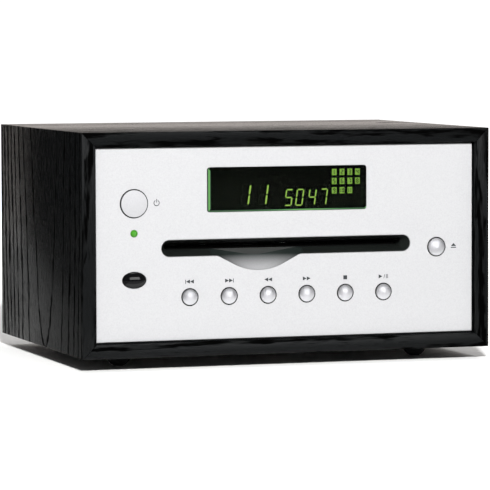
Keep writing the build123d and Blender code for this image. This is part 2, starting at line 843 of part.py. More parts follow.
# The line from the roller to the pivot, as an angle in the plane of the gears
mesh_angle = degrees(-radians(lean))
roller_gear_solid = spur_gear(roller_teeth, gear_span, shaft_radius, mesh_angle)
idler_phase = mesh_angle + 180 + 180 / idler_teeth
idler_gear_solid = spur_gear(idler_teeth, gear_span, trunnion_radius + fit, idler_phase)
with BuildPart() as roller_gear:
    with Locations((0, roller_y, roller_z)):
        add(roller_gear_solid)
finish(roller_gear, "roller_gear")

pulley_radius = 6.0
pulley_span = (gear_span[1], gear_span[1] + 2.4)
with BuildPart() as drive_pulley:
    with Locations((0, pivot_y, pivot_z)):
        add(idler_gear_solid)
    rod("X", pulley_span, (pivot_y, pivot_z), pulley_radius)
    rod("X", (pulley_span[1], pulley_span[1] + 0.6), (pivot_y, pivot_z), pulley_radius + 1)
    rod(
        "X",
        (gear_span[0], pulley_span[1] + 0.6),
        (pivot_y, pivot_z),
        trunnion_radius + fit,
        mode=Mode.SUBTRACT,
    )
finish(drive_pulley, "drive_pulley")

motor_pulley_radius = 2.5
with BuildPart() as motor_pulley:
    rod("X", (tray_half - 6, gear_span[1]), (motor_y, motor_z), motor_shaft_radius)
    rod("X", (gear_span[1] - 0.6, gear_span[1]), (motor_y, motor_z), motor_pulley_radius + 1)
    rod("X", (gear_span[1], pulley_span[1]), (motor_y, motor_z), motor_pulley_radius)
    rod("X", (pulley_span[1], pulley_span[1] + 0.6), (motor_y, motor_z), motor_pulley_radius + 1)
finish(motor_pulley, "motor_pulley")

with BuildPart() as loading_motor:
    rod("X", (tray_half - 22, tray_half), (motor_y, motor_z), motor_radius)
    rod("X", (tray_half - 6.2, tray_half), (motor_y, motor_z), motor_shaft_radius + fit, mode=Mode.SUBTRACT)
finish(loading_motor, "loading_motor")

belt = 1.0


def belt_outline(extra):
    """The loop round both pulleys, extra mm outside their grooves, as a face."""
    with BuildSketch(Plane(origin=(pulley_span[0] + 0.5, 0, 0), x_dir=(0, 1, 0), z_dir=(1, 0, 0))) as loop:
        with Locations((pivot_y, pivot_z)):
            Circle(pulley_radius + extra)
        with Locations((motor_y, motor_z)):
            Circle(motor_pulley_radius + extra)
        make_hull()
    return loop.sketch


belt_inside = belt_outline(fit)
belt_outside = belt_outline(fit + belt)
with BuildPart() as drive_belt:
    extrude(belt_outside, amount=pulley_span[1] - pulley_span[0] - 1.0)
    extrude(belt_inside, amount=pulley_span[1] - pulley_span[0] - 1.0, mode=Mode.SUBTRACT)
finish(drive_belt, "drive_belt")

# ---- Clamp arm over the turntable, with its spinning puck ----
arm_half = 12.0
arm_front = disc_middle_y - 9.0
puck_neck = 3.0
puck_low = seat_z + disc_thickness + clamp_drop
puck_radius = 13.0
arm_low = arm_top - sheet
with BuildPart() as clamp_arm:
    block((-arm_half, arm_half), (arm_front, hinge_y + 2.0), (arm_low, arm_top))
    fillet(clamp_arm.edges().filter_by(Axis.Z).group_by(Axis.Y)[0], 6.0)
    for side in (-1, 1):
        ear = sorted((side * (arm_half - sheet), side * arm_half))
        block(ear, (hinge_y - 2.0, hinge_y + 2.0), (arm_top, hinge_z + 2.0))
        pin = sorted((side * arm_half, side * (hinge_ear + sheet)))
        rod("X", pin, (hinge_y, hinge_z), 1.0)
    rod("Z", (arm_low, arm_top), (0, disc_middle_y), puck_neck + slide_gap, mode=Mode.SUBTRACT)
finish(clamp_arm, "clamp_arm")

with BuildPart() as clamp_puck:
    rod("Z", (puck_low, puck_low + 2.8), (0, disc_middle_y), puck_radius)
    rod("Z", (puck_low, puck_low + 1.6), (0, disc_middle_y), hub_radius + 1, mode=Mode.SUBTRACT)
    rod("Z", (puck_low + 2.8, arm_top + fit), (0, disc_middle_y), puck_neck)
    rod("Z", (arm_top + fit, arm_top + fit + 1.0), (0, disc_middle_y), puck_neck + 2)
finish(clamp_puck, "clamp_puck")

# ---- Main circuit board under the mechanism, and the mains transformer beside it ----
main_board_top = main_board_z + circuit_board
main_board_span = (tray_front + 4, rear_panel_y - slide_gap)
with BuildPart() as main_circuit_board:
    block((-main_board_half, main_board_half), main_board_span, (main_board_z, main_board_top))
    for x, y in board_post_places:
        rod("Z", (main_board_z, main_board_top), (x, y), small_screw_radius + fit, mode=Mode.SUBTRACT)
finish(main_circuit_board, "main_circuit_board")

# Chips, capacitors and the two sockets of the flat cable between the boards
cable_half = 8.0
cable_thickness = 0.6
socket_y = main_board_span[0] + 5.0
socket_top = main_board_top + 4.0
front_socket_z = socket_top + 8.0
front_socket_back = panel_y + board_back + 4.0
chips = [
    ((-14, -12), (18, 18, 1.6)),
    ((22, -14), (12, 18, 2.4)),
    ((20, 20), (9, 9, 1.6)),
    ((-26, 22), (14, 8, 2)),
]
capacitors = [
    ((-38, 30), 6.3, 16),
    ((-38, 48), 6.3, 16),
    ((36, 40), 4, 11),
    ((24, 48), 3.2, 9),
    ((6, 40), 4, 11),
]
with BuildPart() as board_components:
    for (x, y), (wide, deep, high) in chips:
        chip_heights = (main_board_top, main_board_top + high)
        block((x - wide / 2, x + wide / 2), (y - deep / 2, y + deep / 2), chip_heights)
    for (x, y), radius, high in capacitors:
        rod("Z", (main_board_top, main_board_top + high), (x, y), radius)
    block((-cable_half - 1.5, cable_half + 1.5), (socket_y - 2, socket_y + 2), (main_board_top, socket_top))
    block(
        (-cable_half - 1.5, cable_half + 1.5),
        (panel_y + board_back, front_socket_back),
        (front_socket_z - 2, front_socket_z + 2),
    )
finish(board_components, "board_components")

with BuildPart() as front_ribbon:
    with BuildSketch(Plane(origin=(-cable_half, 0, 0), x_dir=(0, 1, 0), z_dir=(1, 0, 0))):
        with BuildLine():
            FilletPolyline(
                (socket_y, socket_top),
                (socket_y, front_socket_z),
                (front_socket_back, front_socket_z),
                radius=3,
            )
        trace(line_width=cable_thickness)
    extrude(amount=2 * cable_half)
finish(front_ribbon, "front_ribbon")

core_x = (-inner_half + 4.0, -tray_outer - 4.0)
core_y = (10.0, 50.0)
core_z = (chassis_top, chassis_top + 34.0)
limb = 9.0
coil_gap = 0.2
core_middle = [sum(core_y) / 2, sum(core_z) / 2]
window_y = [
    (core_y[0] + limb / 2, core_middle[0] - limb / 2),
    (core_middle[0] + limb / 2, core_y[1] - limb / 2),
]
window_z = (core_z[0] + limb / 2, core_z[1] - limb / 2)
with BuildPart() as transformer_core:
    core_stack = (core_x[0] + 4.0, core_x[1] - 4.0)
    block(core_stack, core_y, core_z)
    for span in window_y:
        block(core_stack, span, window_z, mode=Mode.SUBTRACT)
finish(transformer_core, "transformer_core")

with BuildPart() as transformer_coil:
    block(
        core_x,
        (window_y[0][0] + coil_gap, window_y[1][1] - coil_gap),
        (window_z[0] + coil_gap, window_z[1] - coil_gap),
    )
    block(
        core_stack,
        (window_y[0][1] - coil_gap, window_y[1][0] + coil_gap),
        window_z,
        mode=Mode.SUBTRACT,
    )
finish(transformer_coil, "transformer_coil")

# ---- Rear panel with its sockets ----
jack_z = main_board_top + 8.0
jack_places = [(-20 + index * jack_pitch, jack_z) for index in (0, 1)]
optical_place = (20.0, jack_z)
optical_size = 10.0
inlet_place = (sum(core_x) / 2 + 2, floor_z + 32.0)
inlet_size = (20.5, 12.5)
vent_half = 24.0
vent_column = 35.0
vent_rows = 6
vent_pitch = 4.0
vent_height = 1.8
vent_below_top = 16.0
rear_fit = 0.2
with BuildPart() as rear_panel:
    block(
        (-inner_half + rear_fit, inner_half - rear_fit),
        (rear_panel_y, rear_panel_y + rear_panel_thickness),
        (floor_z + rear_fit, ceiling_z - rear_fit),
    )
    rear_wall = (rear_panel_y, rear_panel_y + rear_panel_thickness)
    for place in cleat_places:
        rod("Y", rear_wall, place, screw_radius + fit, mode=Mode.SUBTRACT)
    for place in jack_places:
        rod("Y", rear_wall, place, jack_radius + slide_gap, mode=Mode.SUBTRACT)
    block(
        (optical_place[0] - optical_size / 2 - slide_gap, optical_place[0] + optical_size / 2 + slide_gap),
        rear_wall,
        (optical_place[1] - optical_size / 2 - slide_gap, optical_place[1] + optical_size / 2 + slide_gap),
        mode=Mode.SUBTRACT,
    )
    block(
        (inlet_place[0] - inlet_size[0] / 2 - slide_gap, inlet_place[0] + inlet_size[0] / 2 + slide_gap),
        rear_wall,
        (inlet_place[1] - inlet_size[1] / 2 - slide_gap, inlet_place[1] + inlet_size[1] / 2 + slide_gap),
        mode=Mode.SUBTRACT,
    )
    for row in range(vent_rows):
        z = ceiling_z - vent_below_top - vent_pitch * row
        for side in (-1, 1):
            vent_middle = (side * vent_column, rear_panel_y, z)
            with BuildSketch(Plane(origin=vent_middle, x_dir=(1, 0, 0), z_dir=(0, -1, 0))):
                SlotOverall(2 * vent_half, vent_height)
            extrude(amount=-rear_panel_thickness, mode=Mode.SUBTRACT)
finish(rear_panel, "rear_panel")

jack_bore = 1.6
with BuildPart() as phono_jacks:
    block(
        (jack_places[0][0] - 6, jack_places[1][0] + 6),
        (rear_panel_y - 9.0, rear_panel_y),
        (main_board_top, jack_z + 6),
    )
    for place in jack_places:
        rod("Y", (rear_panel_y, rear_wall[1] + jack_length), place, jack_radius)
        rod("Y", (rear_wall[1] - 1, rear_wall[1] + jack_length), place, jack_bore, mode=Mode.SUBTRACT)
finish(phono_jacks, "phono_jacks")

optical_wall = 1.6
optical_mouth = optical_size / 2 - optical_wall
optical_out = rear_wall[1] + 1.0
optical_deep = 11.0
shutter_thickness = 0.8
with BuildPart() as optical_socket:
    block(
        (optical_place[0] - optical_size / 2, optical_place[0] + optical_size / 2),
        (optical_out - optical_deep - optical_wall, optical_out),
        (optical_place[1] - optical_size / 2, optical_place[1] + optical_size / 2),
    )
    block(
        (optical_place[0] - optical_size / 2, optical_place[0] + optical_size / 2),
        (optical_out - optical_deep - optical_wall, rear_panel_y),
        (main_board_top, optical_place[1] - optical_size / 2),
    )
    block(
        (optical_place[0] - optical_mouth, optical_place[0] + optical_mouth),
        (optical_out - optical_deep, optical_out),
        (optical_place[1] - optical_mouth, optical_place[1] + optical_mouth),
        mode=Mode.SUBTRACT,
    )
    shutter_axis = (optical_out - 1.0, optical_place[1] + optical_mouth - 0.7)
    rod(
        "X",
        (optical_place[0] - optical_mouth - 0.8, optical_place[0] + optical_mouth + 0.8),
        shutter_axis,
        0.45 + fit,
        mode=Mode.SUBTRACT,
    )
finish(optical_socket, "optical_socket")

with BuildPart() as optical_shutter:
    block(
        (optical_place[0] - optical_mouth + 0.15, optical_place[0] + optical_mouth - 0.15),
        (shutter_axis[0] - shutter_thickness / 2, shutter_axis[0] + shutter_thickness / 2),
        (optical_place[1] - optical_mouth + 0.15, shutter_axis[1]),
    )
    rod(
        "X",
        (optical_place[0] - optical_mouth - 0.7, optical_place[0] + optical_mouth + 0.7),
        shutter_axis,
        0.45,
    )
finish(optical_shutter, "optical_shutter")

inlet_deep = 13.0
inlet_cavity = (16.5, 9.0)
inlet_pin = 1.2
inlet_pin_pitch = 8.6
inlet_flange = 2.0
with BuildPart() as mains_inlet:
    block(
        (inlet_place[0] - inlet_size[0] / 2, inlet_place[0] + inlet_size[0] / 2),
        (rear_wall[1] - inlet_deep - 2, rear_wall[1]),
        (inlet_place[1] - inlet_size[1] / 2, inlet_place[1] + inlet_size[1] / 2),
    )
    flange_half = [size / 2 + inlet_flange for size in inlet_size]
    block(
        (inlet_place[0] - flange_half[0], inlet_place[0] + flange_half[0]),
        (rear_wall[1], rear_wall[1] + 1.2),
        (inlet_place[1] - flange_half[1], inlet_place[1] + flange_half[1]),
    )
    with BuildSketch(Plane(origin=(0, rear_wall[1] + 1.2, 0), x_dir=(1, 0, 0), z_dir=(0, -1, 0))):
        with Locations(inlet_place):
            SlotOverall(*inlet_cavity)
    extrude(amount=inlet_deep, mode=Mode.SUBTRACT)
    for side in (-1, 1):
        rod(
            "Y",
            (rear_wall[1] + 1.2 - inlet_deep, rear_wall[1] - 1.5),
            (inlet_place[0] + side * inlet_pin_pitch / 2, inlet_place[1]),
            inlet_pin,
        )
finish(mains_inlet, "mains_inlet")

# ---- Screws, grouped by size ----
with BuildPart() as cabinet_screws:
    for x, z in cleat_places:
        rod("Y", (panel_back_y + 0.3, cleat_spans[0][1]), (x, z), screw_radius)
        rod("Y", (cleat_spans[0][1], cleat_spans[0][1] + screw_head), (x, z), screw_head_radius)
        rod("Y", (cleat_spans[1][0] + 2, rear_wall[1]), (x, z), screw_radius)
        rod("Y", (rear_wall[1], rear_wall[1] + screw_head), (x, z), screw_head_radius)
    for place in chassis_screw_places:
        rod("Z", (floor_z - chassis_screw_length + 0.5, chassis_top), place, screw_radius)
        rod("Z", (chassis_top, chassis_top + screw_head), place, screw_head_radius)
finish(cabinet_screws, "cabinet_screws")

with BuildPart() as machine_screws:
    for x, z in standoff_places:
        rod("Y", depths(front_board_depth - 7, board_back), (x, z), small_screw_radius)
        rod("Y", depths(board_back, board_back + small_head), (x, z), small_head_radius)
    for x, y in post_places:
        rod("Z", (post_top - 6, tray_floor), (x, y), small_screw_radius)
        rod("Z", (tray_floor, tray_floor + small_head), (x, y), small_head_radius)
    for x, y in board_post_places:
        rod("Z", (chassis_top, main_board_top), (x, y), small_screw_radius)
        rod("Z", (main_board_top, main_board_top + small_head), (x, y), small_head_radius)
finish(machine_screws, "machine_screws")
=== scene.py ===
# A small table-top cd player: black ash cabinet, blasted metal front, slot-loading mechanism.
# Metres, +X right, +Y back, +Z up, standing on the floor at z = 0.
import json
import math

import bmesh
import bpy
from mathutils import Matrix, Vector

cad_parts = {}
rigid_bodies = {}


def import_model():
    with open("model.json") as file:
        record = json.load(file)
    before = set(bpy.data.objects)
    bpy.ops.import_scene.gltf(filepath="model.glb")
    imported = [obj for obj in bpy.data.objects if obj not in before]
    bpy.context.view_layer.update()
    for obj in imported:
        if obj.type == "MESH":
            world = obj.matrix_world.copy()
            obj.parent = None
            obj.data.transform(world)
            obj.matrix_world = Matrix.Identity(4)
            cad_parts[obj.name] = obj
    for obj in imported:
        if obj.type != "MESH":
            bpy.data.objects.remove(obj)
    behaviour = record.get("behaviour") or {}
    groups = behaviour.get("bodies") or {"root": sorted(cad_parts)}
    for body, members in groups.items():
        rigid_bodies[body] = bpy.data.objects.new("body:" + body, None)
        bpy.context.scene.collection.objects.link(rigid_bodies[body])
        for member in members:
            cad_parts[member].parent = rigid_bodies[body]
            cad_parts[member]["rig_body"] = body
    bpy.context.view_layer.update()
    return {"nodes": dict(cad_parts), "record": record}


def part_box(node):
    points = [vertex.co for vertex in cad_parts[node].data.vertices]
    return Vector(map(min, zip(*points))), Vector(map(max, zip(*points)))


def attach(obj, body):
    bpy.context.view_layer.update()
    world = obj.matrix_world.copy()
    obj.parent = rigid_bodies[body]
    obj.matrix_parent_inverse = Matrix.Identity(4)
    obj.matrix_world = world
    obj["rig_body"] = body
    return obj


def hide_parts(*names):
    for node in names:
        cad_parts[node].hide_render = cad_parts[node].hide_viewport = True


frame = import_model()
print("frame loaded:", len(frame["nodes"]), "nodes")

scene = bpy.context.scene
scene.view_settings.view_transform = "Standard"


def toLinear(code):
    channels = [int(code[i : i + 2], 16) / 255 for i in (1, 3, 5)]
    return (*[c / 12.92 if c <= 0.04045 else ((c + 0.055) / 1.055) ** 2.4 for c in channels], 1.0)


def addNode(tree, kind, settings=None, links=None):
    node = tree.nodes.new(kind)
    for key, value in (settings or {}).items():
        if isinstance(key, str) and hasattr(node, key):
            setattr(node, key, value)
        else:
            node.inputs[key].default_value = value
    for key, source in (links or {}).items():
        tree.links.new(source, node.inputs[key])
    return node


def newMaterial(name, settings):
    material = bpy.data.materials.new(name)
    material.use_nodes = True
    tree = material.node_tree
    tree.nodes.clear()
    shader = addNode(tree, "ShaderNodeBsdfPrincipled", settings)
    addNode(tree, "ShaderNodeOutputMaterial", None, {"Surface": shader.outputs[0]})
    return material, tree, shader


def grainedMaterial(name, look):
    # One finish: two close tones and an uneven gloss from a fine grain, with bump from the same grain.
    fixed = {"Metallic": look.get("metallic", 0.0)}
    for key, socket in (("ior", "IOR"), ("specular", "Specular IOR Level"), ("coat", "Coat Weight"),
                        ("transmission", "Transmission Weight"), ("anisotropic", "Anisotropic"),
                        ("glow", "Emission Strength"), ("subsurface", "Subsurface Weight")):
        if key in look:
            fixed[socket] = look[key]
    if "glowColour" in look:
        fixed["Emission Color"] = toLinear(look["glowColour"])
    material, tree, shader = newMaterial(name, fixed)
    place = addNode(tree, "ShaderNodeTexCoord")
    stretch = look.get("stretch", (1, 1, 1))
    mapped = addNode(tree, "ShaderNodeMapping", {"Scale": tuple(1000 / look["grain"] * s for s in stretch)},
                     {"Vector": place.outputs["Object"]})
    noise = addNode(tree, "ShaderNodeTexNoise", {"Scale": 1.0, "Detail": 3.0, "Roughness": 0.6},
                    {"Vector": mapped.outputs[0]})
    tone = addNode(tree, "ShaderNodeMix", {"data_type": "RGBA", 6: toLinear(look["colour"]),
                   7: toLinear(look["shade"])}, {0: noise.outputs[0]})
    low, high = look["roughness"]
    gloss = addNode(tree, "ShaderNodeMapRange", {1: 0.25, 2: 0.75, 3: low, 4: high}, {0: noise.outputs[0]})
    bump = addNode(tree, "ShaderNodeBump", {"Strength": look.get("bump", 0.3), "Distance": look["grain"] / 4000},
                   {"Height": noise.outputs[0]})
    colour = tone.outputs[2]
    if "deep" in look:  # painted shade: darker with depth into a recess, where shade falls
        depth = addNode(tree, "ShaderNodeSeparateXYZ", None, {0: place.outputs["Object"]})
        reach = addNode(tree, "ShaderNodeMapRange", {1: look["deep"]["start"] / 1000, 2: look["deep"]["end"] / 1000},
                        {0: depth.outputs[1]})
        if "high" in look["deep"]:  # painted shade too: darker towards the slot than at the scoop's lip
            height = addNode(tree, "ShaderNodeMapRange",
                             {1: look["deep"]["low"] / 1000, 2: look["deep"]["high"] / 1000}, {0: depth.outputs[2]})
            reach = addNode(tree, "ShaderNodeMath", {"operation": "MULTIPLY"},
                            {0: reach.outputs[0], 1: height.outputs[0]})
        colour = addNode(tree, "ShaderNodeMix", {"data_type": "RGBA", 7: toLinear(look["deep"]["colour"])},
                         {0: reach.outputs[0], 6: colour}).outputs[2]
    tree.links.new(colour, shader.inputs["Base Color"])
    tree.links.new(gloss.outputs[0], shader.inputs["Roughness"])
    tree.links.new(bump.outputs[0], shader.inputs["Normal"])
    return material


def finishPiece(name, bm, material, body, sharp=35.0, replaced=()):
    # Turns a bmesh into a piece at the origin, smooth but for its sharp edges, riding on a body.
    for face in bm.faces:
        face.smooth = True
    for edge in bm.edges:
        if len(edge.link_faces) == 2:
            edge.smooth = edge.calc_face_angle() < math.radians(sharp)
    mesh = bpy.data.meshes.new(name)
    bm.to_mesh(mesh)
    bm.free()
    piece = bpy.data.objects.new(name, mesh)
    scene.collection.objects.link(piece)
    mesh.materials.append(material)
    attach(piece, body)
    if replaced:
        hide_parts(*replaced)
    return piece


def slotOf(node):
    return next(part["material_slot"] for part in frame["record"]["subparts"] if part["node"] == node)


def bakeModifiers(piece):
    graph = bpy.context.evaluated_depsgraph_get()
    baked = bpy.data.meshes.new_from_object(piece.evaluated_get(graph), preserve_all_data_layers=True, depsgraph=graph)
    piece.modifiers.clear()
    piece.data = baked


def refinedCopy(node, name, material, sharp=32.0):
    # The node's own shape with its triangles joined and its curves shaded smooth.
    source = frame["nodes"][node]
    bm = bmesh.new()
    bm.from_mesh(source.data)
    bmesh.ops.remove_doubles(bm, verts=bm.verts, dist=1e-6)
    piece = finishPiece(name, bm, material, source["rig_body"], sharp, (node,))
    weighted = piece.modifiers.new("weighted", "WEIGHTED_NORMAL")
    weighted.keep_sharp = True
    weighted.weight = 50
    bakeModifiers(piece)
    return piece


def prism(bm, outline, near, far):
    # A closed plate between two depths from an outline of (x, z) points in millimetres.
    area = sum(a[0] * b[1] - b[0] * a[1] for a, b in zip(outline, outline[1:] + outline[:1]))
    points = outline if area > 0 else outline[::-1]
    front = [bm.verts.new((x / 1000, near / 1000, z / 1000)) for x, z in points]
    back = [bm.verts.new((x / 1000, far / 1000, z / 1000)) for x, z in points]
    bm.faces.new(front)
    bm.faces.new(back[::-1])
    for i in range(len(points)):
        j = (i + 1) % len(points)
        bm.faces.new((front[j], front[i], back[i], back[j]))


def turnedRing(bm, x, z, profile, around):
    # A closed ring about a line along Y, from (radius, y) points in millimetres.
    rings = [[bm.verts.new(((x + radius * math.cos(2 * math.pi * k / around)) / 1000, y / 1000,
                            (z + radius * math.sin(2 * math.pi * k / around)) / 1000)) for k in range(around)]
             for radius, y in profile]
    for ring, following in zip(rings, rings[1:] + rings[:1]):
        for k in range(around):
            after = (k + 1) % around
            bm.faces.new((ring[k], ring[after], following[after], following[k]))


# Camera
view = {
    "place": (-0.551208, -1.674167, 0.169192),
    "yaw": 0.319712,
    "pitch": 0.0645314,
    "roll": -0.0029438,
    "lens": 251.04,
}
forward = Vector((math.sin(view["yaw"]) * math.cos(view["pitch"]), math.cos(view["yaw"]) * math.cos(view["pitch"]),
                  -math.sin(view["pitch"])))
level = Vector((math.cos(view["yaw"]), -math.sin(view["yaw"]), 0))
upward = level.cross(forward)
right = level * math.cos(view["roll"]) + upward * math.sin(view["roll"])
top = upward * math.cos(view["roll"]) - level * math.sin(view["roll"])
lensData = bpy.data.cameras.new("camera")
lensData.lens = view["lens"]
lensData.sensor_width = 36.0
lensData.clip_start, lensData.clip_end = 0.05, 50.0
camera = bpy.data.objects.new("camera", lensData)
scene.collection.objects.link(camera)
turn = Matrix((right, top, -forward)).transposed().to_4x4()
camera.matrix_world = Matrix.Translation(view["place"]) @ turn
scene.camera = camera

# Studio: pale floor, white sweep, one key light from the front, soft fills behind and overhead
studio = {
    "floorColour": "#f7f7f6",
    "keyAzimuth": -14.0,      # degrees from straight ahead, towards the left
    "keyElevation": 25.5,
    "keyDistance": 2.2,
    "keySize": 0.22,
    "keyPower": 104.0,
    "overheadPower": 14.0,
    "backPower": 2.5,
    "softbox": 5.0,
    "softboxSize": (1.6, 0.8),
    "softboxAzimuth": 13.0,
    "softboxElevation": 15.0,
    "surround": 0.16,
    "sweepColour": "#fff6f0",
    "sweepGlow": 1.0,         # white sweep behind, which the top board mirrors
}


def softLight(name, place, target, size, power, colour="#ffffff", sizeY=None):
    data = bpy.data.lights.new(name, "AREA")
    data.shape = "RECTANGLE" if sizeY else "DISK"
    data.size = size
    if sizeY:
        data.size_y = sizeY
    data.energy = power
    data.color = toLinear(colour)[:3]
    light = bpy.data.objects.new(name, data)
    scene.collection.objects.link(light)
    light.location = place
    light.rotation_euler = (Vector(target) - Vector(place)).to_track_quat("-Z", "Y").to_euler()
    return light


azimuth, elevation = math.radians(studio["keyAzimuth"]), math.radians(studio["keyElevation"])
keyWay = Vector((math.sin(azimuth) * math.cos(elevation), -math.cos(azimuth) * math.cos(elevation),
                 math.sin(elevation)))
softLight("key_light", keyWay * studio["keyDistance"] + Vector((0, 0, 0.06)), (0, 0, 0.06), studio["keySize"],
          studio["keyPower"]).visible_glossy = False
softLight("back_light", (0.4, 1.9, 1.0), (0, 0.08, 0.06), 1.0, studio["backPower"], sizeY=0.7).visible_glossy = False
softLight("overhead_light", (0.1, 0.15, 1.7), (0, 0.05, 0), 1.4, studio["overheadPower"], sizeY=1.2)

floorMesh = bpy.data.meshes.new("floor")
floorMesh.from_pydata([(-5, -4, 0), (5, -4, 0), (5, 4, 0), (-5, 4, 0)], [], [(0, 1, 2, 3)])
floor = bpy.data.objects.new("floor", floorMesh)
scene.collection.objects.link(floor)
floorPaper = grainedMaterial("floorPaper", {
    "colour": studio["floorColour"], "shade": "#f2f2f1", "grain": 4.0, "roughness": (0.55, 0.65), "bump": 0.02,
    "glow": 0.0, "glowColour": "#ffffff"})
# The paper is lit evenly far out, where the key light falls off.
paperTree = floorPaper.node_tree
paperPlace = addNode(paperTree, "ShaderNodeTexCoord")
reach = addNode(paperTree, "ShaderNodeVectorMath", {"operation": "LENGTH"}, {0: paperPlace.outputs["Object"]})
farLight = addNode(paperTree, "ShaderNodeMapRange", {1: 0.25, 2: 1.3, 3: 0.0, 4: 1.0}, {0: reach.outputs["Value"]})
paperTree.links.new(farLight.outputs[0], paperTree.nodes["Principled BSDF"].inputs["Emission Strength"])
floorMesh.materials.append(floorPaper)



def studioCard(name, corners, material):
    # A flat card that only glossy surfaces see, with u running from its first edge to its far edge.
    mesh = bpy.data.meshes.new(name)
    mesh.from_pydata(corners, [], [(0, 1, 2, 3)])
    layer = mesh.uv_layers.new(name="UVMap")
    for index, spot in enumerate(((0, 0), (1, 0), (1, 1), (0, 1))):
        layer.data[index].uv = spot
    mesh.materials.append(material)
    card = bpy.data.objects.new(name, mesh)
    scene.collection.objects.link(card)
    for ray in ("camera", "diffuse", "shadow", "transmission", "volume_scatter"):
        setattr(card, "visible_" + ray, False)


def cardMaterial(name, glow, fade, colour="#ffffff"):
    # Flat light or black paper, thinning to nothing at its near edge where fade asks for it.
    material = bpy.data.materials.new(name)
    material.use_nodes = True
    tree = material.node_tree
    tree.nodes.clear()
    light = addNode(tree, "ShaderNodeEmission", {"Color": toLinear(colour), "Strength": glow})
    clear = addNode(tree, "ShaderNodeBsdfTransparent")
    spot = addNode(tree, "ShaderNodeSeparateXYZ", None, {0: addNode(tree, "ShaderNodeTexCoord").outputs["UV"]})
    cover = addNode(tree, "ShaderNodeMapRange", {"interpolation_type": "SMOOTHSTEP", 1: fade[0], 2: fade[1], 3: fade[2],
                                                 4: 1.0}, {0: spot.outputs[0]})
    both = addNode(tree, "ShaderNodeMixShader", None, {0: cover.outputs[0], 1: clear.outputs[0], 2: light.outputs[0]})
    addNode(tree, "ShaderNodeOutputMaterial", None, {"Surface": both.outputs[0]})
    return material


# Black cards left of and behind the cabinet keep its left side dark, and its foot picks up the floor.
studioCard("standing_card", [(-0.15, 0.8, 0), (-3.2, 0.8, 0), (-3.2, 0.8, 1.6), (-0.15, 0.8, 1.6)],
           cardMaterial("blackCard", 0.004, (0.0, 0.01, 1.0)))
studioCard("lying_card", [(-0.108, -0.6, 0.001), (-0.6, -0.6, 0.001), (-0.6, 0.8, 0.001), (-0.108, 0.8, 0.001)],
           cardMaterial("fadingCard", 0.004, (0.0, 0.5, 0.62)))
# Dark floor far in front, so the gloss black parts stay black.
studioCard("front_card", [(3.0, -0.14, 0.001), (3.0, -3.9, 0.001), (-3.0, -3.9, 0.001), (-3.0, -0.14, 0.001)],
           cardMaterial("farCard", 0.012, (0.0, 0.12, 0.55)))
# The softbox round the key light: the highlight in the gloss black window and the domes.
boxTurn, boxRise = math.radians(studio["softboxAzimuth"]), math.radians(studio["softboxElevation"])
boxWay = Vector((math.sin(boxTurn) * math.cos(boxRise), -math.cos(boxTurn) * math.cos(boxRise), math.sin(boxRise)))
side = Vector((math.cos(boxTurn), math.sin(boxTurn), 0))
boxMiddle, halfWide = boxWay * 2.25, side * studio["softboxSize"][0] / 2
halfHigh = side.cross(boxWay) * -studio["softboxSize"][1] / 2
studioCard("softbox", [boxMiddle - halfWide - halfHigh, boxMiddle + halfWide - halfHigh,
                       boxMiddle + halfWide + halfHigh, boxMiddle - halfWide + halfHigh],
           cardMaterial("litSoftbox", studio["softbox"], (0.0, 0.01, 1.0)))
# The bright sweep behind, seen only in the lacquer of the top board.
studioCard("bright_sweep", [(-0.15, 1.1, 0), (3.0, 1.1, 0), (3.0, 1.1, 1.6), (-0.15, 1.1, 1.6)],
           cardMaterial("litSweep", studio["sweepGlow"], (0.0, 0.01, 1.0), studio["sweepColour"]))

world = bpy.data.worlds.new("sweep")
scene.world = world
world.use_nodes = True
worldTree = world.node_tree
worldTree.nodes.clear()
surround = addNode(worldTree, "ShaderNodeBackground", {"Color": (1, 1, 1, 1), "Strength": studio["surround"]})
white = addNode(worldTree, "ShaderNodeBackground", {"Color": (1, 1, 1, 1), "Strength": 1.1})
rays = addNode(worldTree, "ShaderNodeLightPath")
both = addNode(worldTree, "ShaderNodeMixShader", None,
               {0: rays.outputs["Is Camera Ray"], 1: surround.outputs[0], 2: white.outputs[0]})
addNode(worldTree, "ShaderNodeOutputWorld", None, {"Surface": both.outputs[0]})
print("camera, floor and lights done")

# Cabinet: four mitred boards of black-stained ash
# Open-pored ash under a satin lacquer: black stain, earlywood pores as near-black broken lines.
ash = {
    "lacquer": "#070808",
    "lacquerLight": "#0e0f10",
    "pore": "#020202",
    "ringSpacing": 950.0,   # mm2 between rings, so they crowd together away from the heart line
    "heart": 60.0,          # mm from the face to the middle of the tree
    "bandHalf": 0.75,
    "bandSoft": 0.9,
    "roughness": (0.25, 0.7),
}


